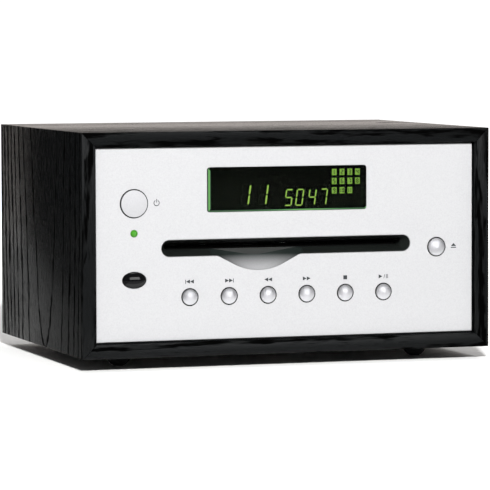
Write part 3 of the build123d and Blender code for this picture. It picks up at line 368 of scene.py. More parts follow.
def ashWood(name, plan):
    material, tree, shader = newMaterial(name, {"Specular IOR Level": 0.42})
    place = addNode(tree, "ShaderNodeTexCoord")
    axes = addNode(tree, "ShaderNodeSeparateXYZ", None, {0: place.outputs["Object"]})

    def mathNode(kind, a, b=None, c=None):
        settings, links = {"operation": kind}, {}
        for index, value in enumerate((a, b, c)):
            if value is None:
                continue
            if isinstance(value, (int, float)):
                settings[index] = value
            else:
                links[index] = value
        return addNode(tree, "ShaderNodeMath", settings, links).outputs[0]

    across = mathNode("MULTIPLY_ADD", axes.outputs[plan["across"][0]], 1000 * plan["across"][1], -plan["across"][2])
    along = mathNode("MULTIPLY_ADD", axes.outputs[plan["along"][0]], 1000 * plan["along"][1], -plan["along"][2])
    deep = mathNode("MULTIPLY_ADD", axes.outputs[plan["deep"][0]], 1000 * plan["deep"][1], -plan["deep"][2])
    grain = addNode(tree, "ShaderNodeCombineXYZ", None, {0: across, 1: along, 2: deep}).outputs[0]

    def streaks(widthMm, lengthMm, detail, seed):
        mapped = addNode(tree, "ShaderNodeMapping",
                         {"Location": (seed, seed * 1.7, 0), "Scale": (1 / widthMm, 1 / lengthMm, 1 / widthMm)},
                         {"Vector": grain})
        return addNode(tree, "ShaderNodeTexNoise", {"Scale": 1.0, "Detail": detail, "Roughness": 0.55},
                       {"Vector": mapped.outputs[0]}).outputs[0]

    seed = plan["seed"]
    wander = mathNode("MULTIPLY_ADD", streaks(26, 90, 2.0, seed), plan["wander"], -plan["wander"] / 2)
    jag = mathNode("MULTIPLY_ADD", streaks(1.3, 9, 2.0, seed + 4), 3.4, -1.7)
    shifted = mathNode("ADD", mathNode("ADD", across, wander), jag)
    squared = mathNode("MULTIPLY", shifted, shifted)
    ringed = mathNode("MULTIPLY_ADD", deep, 2 * ash["heart"], squared)
    coned = mathNode("MULTIPLY_ADD", along, -plan["cone"], ringed)
    phase = mathNode("DIVIDE", coned, ash["ringSpacing"])
    nearest = mathNode("PINGPONG", mathNode("ADD", phase, plan["offset"] + 40), 0.5)
    slope = mathNode("SQRT", mathNode("MULTIPLY_ADD", squared, 4.0, 36.0))
    distance = mathNode("DIVIDE", mathNode("MULTIPLY", nearest, ash["ringSpacing"]), slope)
    band = addNode(tree, "ShaderNodeMapRange",
                   {"interpolation_type": "SMOOTHSTEP", 1: ash["bandHalf"], 2: ash["bandHalf"] + ash["bandSoft"],
                    3: 1.0, 4: 0.0}, {0: distance}).outputs[0]
    dashes = addNode(tree, "ShaderNodeMapRange",
                     {"interpolation_type": "SMOOTHSTEP", 1: 0.36, 2: 0.56, 3: 0.25, 4: 1.0},
                     {0: streaks(2.2, 16, 3.0, seed + 9)}).outputs[0]
    rings = mathNode("MULTIPLY", band, dashes)
    fine = addNode(tree, "ShaderNodeMapRange",
                   {"interpolation_type": "SMOOTHSTEP", 1: 0.54, 2: 0.72, 3: 0.0, 4: 0.6},
                   {0: streaks(0.45, 8, 2.0, seed + 14)}).outputs[0]
    pores = mathNode("MAXIMUM", rings, fine)
    tone = addNode(tree, "ShaderNodeMix", {"data_type": "RGBA", 6: toLinear(ash["lacquer"]),
                   7: toLinear(ash["lacquerLight"])}, {0: streaks(3.0, 60, 2.0, seed + 20)})
    stained = addNode(tree, "ShaderNodeMix", {"data_type": "RGBA", 7: toLinear(ash["pore"])},
                      {0: pores, 6: tone.outputs[2]})
    gloss = addNode(tree, "ShaderNodeMapRange", {1: 0.0, 2: 1.0, 3: ash["roughness"][0], 4: ash["roughness"][1]},
                    {0: pores})
    specular = addNode(tree, "ShaderNodeMapRange", {1: 0.0, 2: 1.0, 3: 0.08, 4: 0.0}, {0: pores})
    bump = addNode(tree, "ShaderNodeBump", {"Strength": 0.3, "Distance": 0.0002, "invert": True},
                   {"Height": pores})
    tree.links.new(stained.outputs[2], shader.inputs["Base Color"])
    tree.links.new(gloss.outputs[0], shader.inputs["Roughness"])
    tree.links.new(specular.outputs[0], shader.inputs["Specular IOR Level"])
    tree.links.new(bump.outputs[0], shader.inputs["Normal"])
    return material


low, high = (corner * 1000 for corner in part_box("left_board"))
boardThickness = high.x - low.x
frontY, backY = low.y, high.y
outerX, baseZ, topZ = -low.x, low.z, high.z
innerX, floorZ, ceilingZ = outerX - boardThickness, baseZ + boardThickness, topZ - boardThickness
cabinetBoards = {
    "left": {"outer": ((-outerX, baseZ), (-outerX, topZ)), "inner": ((-innerX, floorZ), (-innerX, ceilingZ)),
             "plan": {"across": (1, 1, -8.8), "along": (2, 1, baseZ), "deep": (0, 1, -outerX), "cone": 6.1,
                      "offset": 0.0, "wander": 9.0, "seed": 3.0}},
    "right": {"outer": ((outerX, baseZ), (outerX, topZ)), "inner": ((innerX, floorZ), (innerX, ceilingZ)),
              "plan": {"across": (1, 1, 14.0), "along": (2, 1, baseZ), "deep": (0, -1, -outerX), "cone": 4.0,
                       "offset": 0.35, "wander": 11.0, "seed": 31.0}},
    "top": {"outer": ((-outerX, topZ), (outerX, topZ)), "inner": ((-innerX, ceilingZ), (innerX, ceilingZ)),
            "plan": {"across": (1, 1, 22.0), "along": (0, 1, 0.0), "deep": (2, -1, -topZ), "cone": 2.2,
                     "offset": 0.2, "wander": 10.0, "seed": 57.0}},
    "bottom": {"outer": ((-outerX, baseZ), (outerX, baseZ)), "inner": ((-innerX, floorZ), (innerX, floorZ)),
               "plan": {"across": (1, 1, -30.0), "along": (0, 1, 0.0), "deep": (2, 1, baseZ), "cone": 2.6,
                        "offset": 0.6, "wander": 10.0, "seed": 83.0}},
}
arris = 0.28  # mm, the sanded edge of each board, so the mitres show as a hairline
for side, board in cabinetBoards.items():
    bm = bmesh.new()
    prism(bm, [*board["outer"], *board["inner"][::-1]], frontY, backY)
    bmesh.ops.bevel(bm, geom=bm.edges[:], offset=arris / 1000, segments=3, profile=0.5, affect="EDGES")
    finishPiece(side + "_ash_board", bm, ashWood("blackAsh_" + side, board["plan"]),
                frame["nodes"][side + "_board"]["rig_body"], 50.0, (side + "_board",))
print("cabinet done")

# Front panel
# Bead-blasted aluminium, clear anodised: pale even silver with a fine sparkle and no brush lines. Its deep entry is
# painted shade: recesses near the slot, the scoop among them, go darker with depth and towards the slot.
blastedAluminium = grainedMaterial("blastedAluminium", {
    "colour": "#adadae", "shade": "#9e9ea0", "grain": 0.55, "roughness": (0.42, 0.6), "bump": 0.22,
    "metallic": 0.4, "deep": {"start": -76.1, "end": -75.5, "low": 48.5, "high": 55.5, "colour": "#1f2523"}})
refinedCopy("front_panel", "blasted_front_panel", blastedAluminium)
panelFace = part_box("front_panel")[0].y * 1000
frontMiddle = (baseZ + topZ) / 2

# Printed symbols: transport, power and eject marks in grey ink
symbols = {
    "ink": "#26282a",
    "lift": 0.03,      # mm that the ink stands on the panel
    "keyRow": frontMiddle - 18.6,
    "keyHigh": 1.0,    # half the height of a mark
    "line": 0.32,
    "power": (-67.63, 82.05, 1.5),
    "eject": (88.5, 56.45, 58.87, 1.4),
}
# Screen-printed ink: a matt dark grey, a little uneven at its edges.
printInk = grainedMaterial("printedInk", {
    "colour": symbols["ink"], "shade": "#303234", "grain": 0.5, "roughness": (0.7, 0.8), "bump": 0.1,
    "specular": 0.2})


def triangle(bm, x, z, wide, high, near, far):
    prism(bm, [(x, z - high), (x + wide, z), (x, z + high)], near, far)


def bar(bm, x0, x1, z0, z1, near, far, lean=0.0):
    prism(bm, [(x0, z0), (x1, z0), (x1 + lean, z1), (x0 + lean, z1)], near, far)


def keyMark(kind, x, z, high, near, far, bm):
    wide = 2.0
    if kind in ("skipBack", "searchBack"):
        for start in (0.05, 2.1):
            triangle(bm, x + start, z, -wide, high, near, far)
        if kind == "skipBack":
            bar(bm, x - 2.35, x - 2.02, z - high, z + high, near, far)
    elif kind in ("skipForward", "searchForward"):
        for start in (-2.1, -0.05):
            triangle(bm, x + start, z, wide, high, near, far)
        if kind == "skipForward":
            bar(bm, x + 2.02, x + 2.35, z - high, z + high, near, far)
    elif kind == "stop":
        bar(bm, x - 1.0, x + 1.0, z - high, z + high, near, far)
    else:
        triangle(bm, x - 2.5, z, wide, high, near, far)
        bar(bm, x + 0.1, x + 0.38, z - high, z + high, near, far, 0.55)
        for start in (1.45, 2.15):
            bar(bm, x + start, x + start + 0.32, z - high, z + high, near, far)


keyPlaces = {"skip_back": "skipBack", "skip_forward": "skipForward", "search_back": "searchBack",
             "search_forward": "searchForward", "stop": "stop", "play_pause": "play"}
near, far = panelFace - symbols["lift"], panelFace
bm = bmesh.new()
for key, kind in keyPlaces.items():
    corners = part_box(key + "_button")
    keyMark(kind, (corners[0].x + corners[1].x) * 500, symbols["keyRow"], symbols["keyHigh"], near, far, bm)
powerX, powerZ, powerR = symbols["power"]
steps = 26
for i in range(steps):
    a, b = (math.radians(90 + 28 + (360 - 56) * (i + k) / steps) for k in (0, 1))
    inner, outer = powerR - symbols["line"], powerR
    prism(bm, [(powerX + inner * math.cos(a), powerZ + inner * math.sin(a)),
               (powerX + inner * math.cos(b), powerZ + inner * math.sin(b)),
               (powerX + outer * math.cos(b), powerZ + outer * math.sin(b)),
               (powerX + outer * math.cos(a), powerZ + outer * math.sin(a))], near, far)
bar(bm, powerX - symbols["line"] / 2, powerX + symbols["line"] / 2, powerZ + 0.2, powerZ + powerR + 0.5, near, far)
ejectX, ejectLow, ejectTop, ejectHalf = symbols["eject"]
prism(bm, [(ejectX - ejectHalf, ejectLow + 0.9), (ejectX + ejectHalf, ejectLow + 0.9), (ejectX, ejectTop)], near, far)
bar(bm, ejectX - ejectHalf, ejectX + ejectHalf, ejectLow, ejectLow + 0.45, near, far)
bmesh.ops.remove_doubles(bm, verts=bm.verts, dist=1e-7)
finishPiece("printed_symbols", bm, printInk, "cabinet")

# Slot liner and seals
# Moulded black ABS with a soft sheen: dark grey-green where light grazes it.
mouldedBlack = grainedMaterial("mouldedBlackAbs", {
    "colour": "#151816", "shade": "#101211", "grain": 0.8, "roughness": (0.32, 0.45), "bump": 0.12})
refinedCopy("slot_liner", "moulded_slot_liner", mouldedBlack)
# Short-pile felt lips behind the slot: lightless black with no gloss.
feltBlack = grainedMaterial("blackFeltSeal", {
    "colour": "#060606", "shade": "#020202", "grain": 0.3, "roughness": (0.95, 1.0), "bump": 0.6, "specular": 0.05})
refinedCopy("slot_seals", "felt_slot_seals", feltBlack)

# Buttons
# Turned aluminium domes, fine blasted then bright dipped: satin chrome that blurs what it mirrors. Painted shade turns
# each cap black where it sinks into its hole.
satinChrome = grainedMaterial("satinChrome", {
    "colour": "#e4e4e7", "shade": "#d8d8dc", "grain": 0.5, "roughness": (0.45, 0.51), "bump": 0.05, "metallic": 1.0,
    "deep": {"start": -76.2, "end": -75.9, "colour": "#050505"}})
# The wide power cap is blasted like the panel, so it nearly matches it. Painted shade turns it black where it sinks
# into its hole.
blastedCap = grainedMaterial("blastedCap", {
    "colour": "#a8a8aa", "shade": "#9a9a9c", "grain": 0.5, "roughness": (0.42, 0.58), "bump": 0.18, "metallic": 0.4,
    "deep": {"start": -76.2, "end": -75.9, "colour": "#050505"}})
for key in [*keyPlaces, "eject", "power"]:
    refinedCopy(key + "_button", key + "_cap", blastedCap if key == "power" else satinChrome)

# Status light and remote window
# Diffusing green acrylic over a lit diode: an even green glow with a brighter middle.
greenLens = grainedMaterial("greenDiffusingLens", {
    "colour": "#2b6d12", "shade": "#235c0e", "grain": 1.2, "roughness": (0.25, 0.35), "bump": 0.02,
    "glow": 0.07, "glowColour": "#7fd020"})
refinedCopy("status_light", "green_status_lens", greenLens)
# Polished near-black acrylic that only infra-red passes: deep gloss and a crisp highlight.
glossBlack = grainedMaterial("polishedBlackAcrylic", {
    "colour": "#020203", "shade": "#030304", "grain": 3.0, "roughness": (0.08, 0.12), "bump": 0.0, "specular": 0.34})
remoteLow, remoteHigh = (corner * 1000 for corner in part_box("remote_window"))
dome = {"rings": 24, "around": 72, "proud": panelFace - remoteLow.y, "round": 0.94, "halfX": 6.15, "halfZ": 4.1,
        "flangeFront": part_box("front_frame")[0].y * 1000}
middleX, middleZ = (remoteLow.x + remoteHigh.x) / 2, (remoteLow.z + remoteHigh.z) / 2
flange = (remoteHigh.x - remoteLow.x) / 2 - dome["halfX"]


def ovalRing(bm, scale, y, extra=0.0):
    halfX, halfZ = dome["halfX"] * scale + extra, dome["halfZ"] * scale + extra
    return [bm.verts.new(((middleX + halfX * math.cos(2 * math.pi * k / dome["around"])) / 1000, y / 1000,
                          (middleZ + halfZ * math.sin(2 * math.pi * k / dome["around"])) / 1000))
            for k in range(dome["around"])]


bm = bmesh.new()
fullDrop = 1 - math.sqrt(1 - dome["round"] ** 2)
tip = bm.verts.new((middleX / 1000, remoteLow.y / 1000, middleZ / 1000))
rings = []
for i in range(1, dome["rings"] + 1):
    t = i / dome["rings"]
    drop = (1 - math.sqrt(1 - (dome["round"] * t) ** 2)) / fullDrop
    rings.append(ovalRing(bm, t, remoteLow.y + dome["proud"] * drop))
rings.append(ovalRing(bm, 1.0, dome["flangeFront"]))
rings.append(ovalRing(bm, 1.0, dome["flangeFront"], flange))
rings.append(ovalRing(bm, 1.0, remoteHigh.y, flange))
end = bm.verts.new((middleX / 1000, remoteHigh.y / 1000, middleZ / 1000))
for k in range(dome["around"]):
    after = (k + 1) % dome["around"]
    bm.faces.new((tip, rings[0][k], rings[0][after]))
    bm.faces.new((end, rings[-1][after], rings[-1][k]))
    for inner, outer in zip(rings, rings[1:]):
        bm.faces.new((inner[k], outer[k], outer[after], inner[after]))
bmesh.ops.recalc_face_normals(bm, faces=bm.faces)
finishPiece("polished_remote_window", bm, glossBlack, "cabinet", 60.0, ("remote_window",))

# Painted shade: a thin black ring round each key stands for the shaded gap between cap and hole
gapShadeRings = {"small": (3.9, 4.45), "eject": (4.4, 4.95), "power": (6.65, 7.2), "lift": 0.05, "deep": 0.6, "around": 64}
# Matt black, so each key sits in a dark line of painted shade.
gapShadeBlack = grainedMaterial("paintedGapShade", {
    "colour": "#060606", "shade": "#090909", "grain": 0.6, "roughness": (0.5, 0.65), "bump": 0.1, "specular": 0.2})
bm = bmesh.new()
for key in [*keyPlaces, "eject", "power"]:
    inner, outer = gapShadeRings.get(key, gapShadeRings["small"])
    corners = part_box(key + "_button")
    x, z = (corners[0].x + corners[1].x) * 500, (corners[0].z + corners[1].z) * 500
    front, back = panelFace - gapShadeRings["lift"], panelFace + gapShadeRings["deep"]
    turnedRing(bm, x, z, ((inner, back), (inner, front), (outer, front), (outer, back)), gapShadeRings["around"])
bmesh.ops.recalc_face_normals(bm, faces=bm.faces)
finishPiece("key_gap_shade_rings", bm, gapShadeBlack, "cabinet")

# Feet
# Moulded nitrile rubber: matt black, faintly dusty.
mattRubber = grainedMaterial("mouldedRubber", {
    "colour": "#0d0d0e", "shade": "#141415", "grain": 1.0, "roughness": (0.7, 0.9), "bump": 0.25, "specular": 0.3})
refinedCopy("rubber_feet", "moulded_rubber_feet", mattRubber)

# Display
display = {
    "shift": -outerX,       # the marks' places run from the cabinet's left side
    "rise": baseZ,          # and from its underside
    "glow": "#bfd976",
    "boxGlow": "#abcf68",
    "glowStrength": 6.9,
    "thick": 0.05,
    "slant": 0.139,         # 8 degrees
    "track": {"feet": (82.3, 91.45), "low": 73.2, "high": 84.0, "wide": 4.9, "line": 0.84, "text": "11"},
    "time": {"feet": (105.6, 111.27, 117.85, 123.8), "low": 72.7, "high": 81.1, "wide": 3.95, "line": 0.64,
             "text": "5047"},
    "columns": (130.86, 134.97, 139.1, 143.15),
    "cell": 2.5,
    "rows": ((87.6, 90.75), (83.1, 86.25), (78.45, 81.6)),
    "count": 11,
}
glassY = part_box("display_module")[0].y * 1000
markFar, markNear = glassY - 0.04, glassY - 0.04 - display["thick"]
# Lit phosphor behind the filter: yellow-green, a little uneven, as a fluorescent display is.
litPhosphor = grainedMaterial("litPhosphor", {
    "colour": "#1c2a0a", "shade": "#16240a", "grain": 0.8, "roughness": (0.8, 0.9), "bump": 0.0,
    "glow": display["glowStrength"], "glowColour": display["glow"]})
# The numbered boxes burn a little greener and dimmer.
boxPhosphor = grainedMaterial("boxPhosphor", {
    "colour": "#1c2a0a", "shade": "#16240a", "grain": 0.8, "roughness": (0.8, 0.9), "bump": 0.0,
    "glow": 0.85 * display["glowStrength"], "glowColour": display["boxGlow"]})
# Unlit phosphor: a faint painted glow keeps it just lighter than the black glass.
idlePhosphor = grainedMaterial("idlePhosphor", {
    "colour": "#101a0e", "shade": "#0c140b", "grain": 0.8, "roughness": (0.8, 0.9), "bump": 0.0,
    "glow": 0.05, "glowColour": "#2c4a1c"})
segmentsOf = {"0": "abcdef", "1": "bc", "2": "abdeg", "3": "abcdg", "4": "bcfg", "5": "acdfg", "6": "acdefg",
              "7": "abc", "8": "abcdefg", "9": "abcdfg"}


def segment(bm, kind, x, low, high, wide, line, lean, near, far):
    # One bar of a seven-part figure that leans, as an outline with pointed ends.
    half, gap = line / 2, line * 0.2
    mid = (low + high) / 2
    across = {"a": high - half, "g": mid, "d": low + half}
    if kind in across:
        z = across[kind]
        points = [(half + gap, z), (line + gap, z - half), (wide - line - gap, z - half), (wide - half - gap, z),
                  (wide - line - gap, z + half), (line + gap, z + half)]
    else:
        side = half if kind in "ef" else wide - half
        ends = (mid, high - half) if kind in "bf" else (low + half, mid)
        z0, z1 = ends[0] + gap, ends[1] - gap
        points = [(side, z0), (side + half, z0 + half), (side + half, z1 - half), (side, z1), (side - half, z1 - half),
                  (side - half, z0 + half)]
    leaned = [(x + px + display["shift"] + (pz - low) * lean, pz + display["rise"]) for px, pz in points]
    prism(bm, leaned, near, far)


lit, idle = bmesh.new(), bmesh.new()
for group in (display["track"], display["time"]):
    for foot, figure in zip(group["feet"], group["text"]):
        for kind in "abcdefg":
            target = lit if kind in segmentsOf[figure] else idle
            segment(target, kind, foot, group["low"], group["high"], group["wide"], group["line"], display["slant"],
                    markNear, markFar)
for i in range(3):  # unlit captions over the figures, as plain bars
    bar(idle, -4.0 + i * 9.6 - 2, -4.0 + i * 9.6 + 5.0, 96.9, 97.3, markNear, markFar)
    bar(idle, -4.0 + i * 9.6 - 2, -4.0 + i * 9.6 + 5.0, 94.3, 94.7, markNear, markFar)


figures, boxes = bmesh.new(), bmesh.new()
for index in range(display["count"]):
    left = display["columns"][index % 4] + display["shift"]
    z0, z1 = (value + display["rise"] for value in display["rows"][index // 4])
    bar(boxes, left, left + display["cell"], z0, z1, markNear, markFar)
    text = str(index + 1)
    wide = 1.45 if len(text) == 1 else 0.95
    for place, figure in enumerate(text):  # black numerals over the lit box
        start = left + (display["cell"] - wide * len(text) - 0.2 * (len(text) - 1)) / 2 + place * (wide + 0.2)
        if figure == "1":
            start -= wide / 2 - 0.2
        for kind in segmentsOf[figure]:
            segment(figures, kind, start - display["shift"], z0 - display["rise"] + 0.3,
                    z1 - display["rise"] - 0.3, wide, 0.5, 0.0, markNear - 0.05, markNear - 0.005)
finishPiece("lit_figures", lit, litPhosphor, "cabinet")
finishPiece("lit_boxes", boxes, boxPhosphor, "cabinet")
finishPiece("unlit_figures", idle, idlePhosphor, "cabinet")
# Black mask printed on the phosphor boxes: it stays dark, so the numerals read as holes.
maskInk = grainedMaterial("blackMaskInk", {
    "colour": "#030503", "shade": "#020302", "grain": 0.6, "roughness": (0.8, 0.9), "bump": 0.0, "specular": 0.1})
finishPiece("box_numerals", figures, maskInk, "cabinet")
# Smoked cast acrylic: nearly black, clear enough for the phosphor to shine through.
smokedAcrylic = grainedMaterial("smokedAcrylic", {
    "colour": "#545d4f", "shade": "#515a4c", "grain": 6.0, "roughness": (0.0, 0.02), "bump": 0.0,
    "transmission": 1.0, "ior": 1.36})
refinedCopy("display_window", "smoked_display_window", smokedAcrylic)

# Painted light: a glowing strip on the acrylic's left and lower edges stands for the display's light running along the
# acrylic and showing green there.
edgeGlow = {"left": 1.75, "low": 0.85, "corner": 1.4, "strength": 1.0}


def glowMaterial():
    material, tree, shader = newMaterial("paintedGlowAcrylicEdge", {"Base Color": toLinear("#071208"), "Roughness": 0.3,
                                         "Emission Strength": edgeGlow["strength"]})
    level = addNode(tree, "ShaderNodeAttribute", {"attribute_name": "glow"})
    ramp = addNode(tree, "ShaderNodeValToRGB", None, {0: level.outputs["Fac"]})
    ramp.color_ramp.elements[0].position, ramp.color_ramp.elements[1].position = 0.0, 1.0
    stops = ((0.0, "#020603"), (0.35, "#12351a"), (0.7, "#3f8a44"), (1.0, "#7cbd57"))
    while len(ramp.color_ramp.elements) < len(stops):
        ramp.color_ramp.elements.new(0.5)
    for element, (position, code) in zip(ramp.color_ramp.elements, stops):
        element.position = position
        element.color = toLinear(code)
    noise = addNode(tree, "ShaderNodeTexNoise", {"Scale": 300.0, "Detail": 2.0})
    rough = addNode(tree, "ShaderNodeMapRange", {1: 0.3, 2: 0.7, 3: 0.25, 4: 0.4}, {0: noise.outputs[0]})
    tree.links.new(rough.outputs[0], shader.inputs["Roughness"])
    tree.links.new(ramp.outputs[0], shader.inputs["Emission Color"])
    return material


def smoothStep(a, b, t):
    t = min(1, max(0, (t - a) / (b - a)))
    return t * t * (3 - 2 * t)


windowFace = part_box("display_window")[0].y * 1000
opening = {"half": 41.65, "low": frontMiddle + 26.35 - 11.0, "high": frontMiddle + 26.35 + 11.0}
arcSteps = 8


def cornerArc(x, z, start):
    turns = [math.radians(start + 90 * i / arcSteps) for i in range(arcSteps + 1)]
    return [(x + edgeGlow["corner"] * math.cos(turn), z + edgeGlow["corner"] * math.sin(turn)) for turn in turns]


corner = edgeGlow["corner"]
leftX, rightX = -opening["half"] + corner, opening["half"] - corner
lowZ, highZ = opening["low"] + corner, opening["high"] - corner
rim = cornerArc(leftX, highZ, 90)  # the window's outline, from its top left corner round to its lower right one
rim += [(-opening["half"], highZ - (highZ - lowZ) * i / 12) for i in range(1, 12)]
rim += cornerArc(leftX, lowZ, 180)
rim += [(leftX + (rightX - leftX) * i / 32, opening["low"]) for i in range(1, 32)]
rim += cornerArc(rightX, lowZ, 270)
bm = bmesh.new()
layer = bm.verts.layers.float.new("glow")
columns = 7
rowsOfVerts = []
for index, (x, z) in enumerate(rim):
    before, after = rim[max(0, index - 1)], rim[min(len(rim) - 1, index + 1)]
    tangent = Vector((after[0] - before[0], after[1] - before[1])).normalized()
    inward = Vector((-tangent.y, tangent.x))
    leftness = abs(inward.x) ** 2
    wide = edgeGlow["low"] + (edgeGlow["left"] - edgeGlow["low"]) * leftness
    if index < 9:
        leftness *= index / 8
        wide *= 0.25 + 0.75 * index / 8
    if index > len(rim) - 10:
        wide *= 1 - 0.8 * (index - len(rim) + 9) / 8
    sideways = (x + opening["half"]) / (2 * opening["half"])
    lengthwise = 0.5 + 0.45 * math.exp(-((sideways - 0.62) / 0.22) ** 2) if leftness < 0.5 else 0.9
    line = []
    for k in range(columns):
        t = k / (columns - 1)
        vert = bm.verts.new(((x + inward.x * wide * t) / 1000, 0, (z + inward.y * wide * t) / 1000))
        vert[layer] = lengthwise * smoothStep(0.0, 0.45, t) * (1 - 0.75 * smoothStep(0.6, 1.0, t))
        line.append(vert)
    rowsOfVerts.append(line)
for a, b in zip(rowsOfVerts, rowsOfVerts[1:]):
    for k in range(columns - 1):
        bm.faces.new((a[k], b[k], b[k + 1], a[k + 1]))
for v in bm.verts:
    v.co.y = (windowFace - 0.02) / 1000
bm.normal_update()
if sum(face.normal.y for face in bm.faces) > 0:
    bmesh.ops.reverse_faces(bm, faces=bm.faces)
bmesh.ops.solidify(bm, geom=bm.faces[:], thickness=0.00002)
bmesh.ops.recalc_face_normals(bm, faces=bm.faces)
finishPiece("painted_glow_window_edge", bm, glowMaterial(), "cabinet")
print("front done")

# Everything else: each carried-over node gets its own finish
finishes = {
    # Planed pine cleats: pale, dry, with a faint grain.
    "pineCleat": ("plain_wood", {"colour": "#b8935f", "shade": "#a37e4d", "grain": 2.5, "stretch": (1, 0.1, 1),
                  "roughness": (0.6, 0.75), "bump": 0.3}),
    # Zinc-plated folded steel: cool grey with soft clouding.
    "zincSteel": ("zinc_steel", {"colour": "#a9adb0", "shade": "#8f9498", "grain": 3.5, "metallic": 1.0,
                  "roughness": (0.3, 0.5), "bump": 0.06}),
    # Ground and polished steel rods and shafts.
    "polishedSteel": ("polished_steel", {"colour": "#c8cacc", "shade": "#b7b9bc", "grain": 0.8, "metallic": 1.0,
                      "roughness": (0.12, 0.22), "bump": 0.03}),
    # Epoxy-glass circuit board under green solder resist: glossy, slightly mottled.
    "greenBoard": ("green_board", {"colour": "#12512f", "shade": "#0d4226", "grain": 1.2, "roughness": (0.25, 0.4),
                   "bump": 0.15}),
    # Flat ribbon cable in grey PVC.
    "ribbonPvc": ("ribbon", {"colour": "#9a9da0", "shade": "#86898c", "grain": 1.0, "stretch": (2, 0.1, 0.1),
                  "roughness": (0.45, 0.6), "bump": 0.5}),
    # Moulded black ABS frames and small housings.
    "blackAbs": ("black_plastic", {"colour": "#131414", "shade": "#0d0e0e", "grain": 0.9, "roughness": (0.45, 0.6),
                 "bump": 0.2}),
    # Rolled transformer steel: dark bluish grey laminations.
    "laminatedSteel": ("lamination", {"colour": "#4a4d50", "shade": "#34373a", "grain": 0.5,
                       "stretch": (0.05, 0.05, 1), "metallic": 0.9, "roughness": (0.4, 0.6), "bump": 0.7}),
    # Yellow polyester tape round the winding: smooth and faintly glossy.
    "windingTape": ("coil_tape", {"colour": "#c9a227", "shade": "#b58f1c", "grain": 2.0, "roughness": (0.3, 0.45),
                    "bump": 0.1}),
    # Powder-coated steel: black with a fine orange-peel texture.
    "powderCoat": ("black_steel", {"colour": "#1a1b1c", "shade": "#141516", "grain": 0.7, "roughness": (0.5, 0.65),
                   "bump": 0.45}),
    # Nickel-plated brass connector shells.
    "nickelPlate": ("jack_metal", {"colour": "#cfcabf", "shade": "#bfbab0", "grain": 0.7, "metallic": 1.0,
                    "roughness": (0.16, 0.28), "bump": 0.04}),
    # Black oxide screws: dark, slightly oily.
    "blackOxide": ("black_screw", {"colour": "#222324", "shade": "#17181a", "grain": 0.6, "metallic": 0.7,
                   "roughness": (0.35, 0.5), "bump": 0.1}),
    # Zinc-plated screws: bright cool silver.
    "brightZinc": ("zinc_screw", {"colour": "#c3c6ca", "shade": "#aeb2b6", "grain": 0.5, "metallic": 1.0,
                   "roughness": (0.22, 0.35), "bump": 0.05}),
    # Acetal and ABS in white: milky, slightly soft looking.
    "whiteAcetal": ("white_plastic", {"colour": "#dcdcd6", "shade": "#d0d0ca", "grain": 1.5,
                    "roughness": (0.35, 0.45), "bump": 0.05}),
    # Machined brass: warm yellow with a fine lathe sheen.
    "machinedBrass": ("brass", {"colour": "#c9a35a", "shade": "#b38d46", "grain": 0.5, "metallic": 1.0,
                      "roughness": (0.2, 0.32), "bump": 0.05}),
    # Ground optical acrylic of the pickup's lens.
    "pickupLens": ("clear_lens", {"colour": "#c8d8e6", "shade": "#c0d0de", "grain": 2.0, "roughness": (0.02, 0.05),
                   "bump": 0.0, "transmission": 0.85, "ior": 1.49}),
    # Vulcanised rubber of the rollers, belt and dampers.
    "blackRubber": ("black_rubber", {"colour": "#121212", "shade": "#191919", "grain": 0.8,
                    "roughness": (0.6, 0.8), "bump": 0.25, "specular": 0.3}),
    # Black glass and metal of the display tube.
    "tubeGlass": ("display_glass", {"colour": "#030403", "shade": "#050605", "grain": 2.0,
                  "roughness": (0.15, 0.25), "bump": 0.0, "specular": 0.04}),
}
bySlot = {slot: (name, look) for name, (slot, look) in finishes.items()}
made = {}
for node, piece in frame["nodes"].items():
    if piece.hide_render:
        continue
    slot = slotOf(node)
    name, look = bySlot.get(slot, ("blackAbs", finishes["blackAbs"][1]))
    if name not in made:
        made[name] = grainedMaterial(name, look)
    for index in range(max(1, len(piece.material_slots))):
        if len(piece.data.materials) == 0:
            piece.data.materials.append(made[name])
        else:
            piece.material_slots[index].material = made[name]
print("inside done")


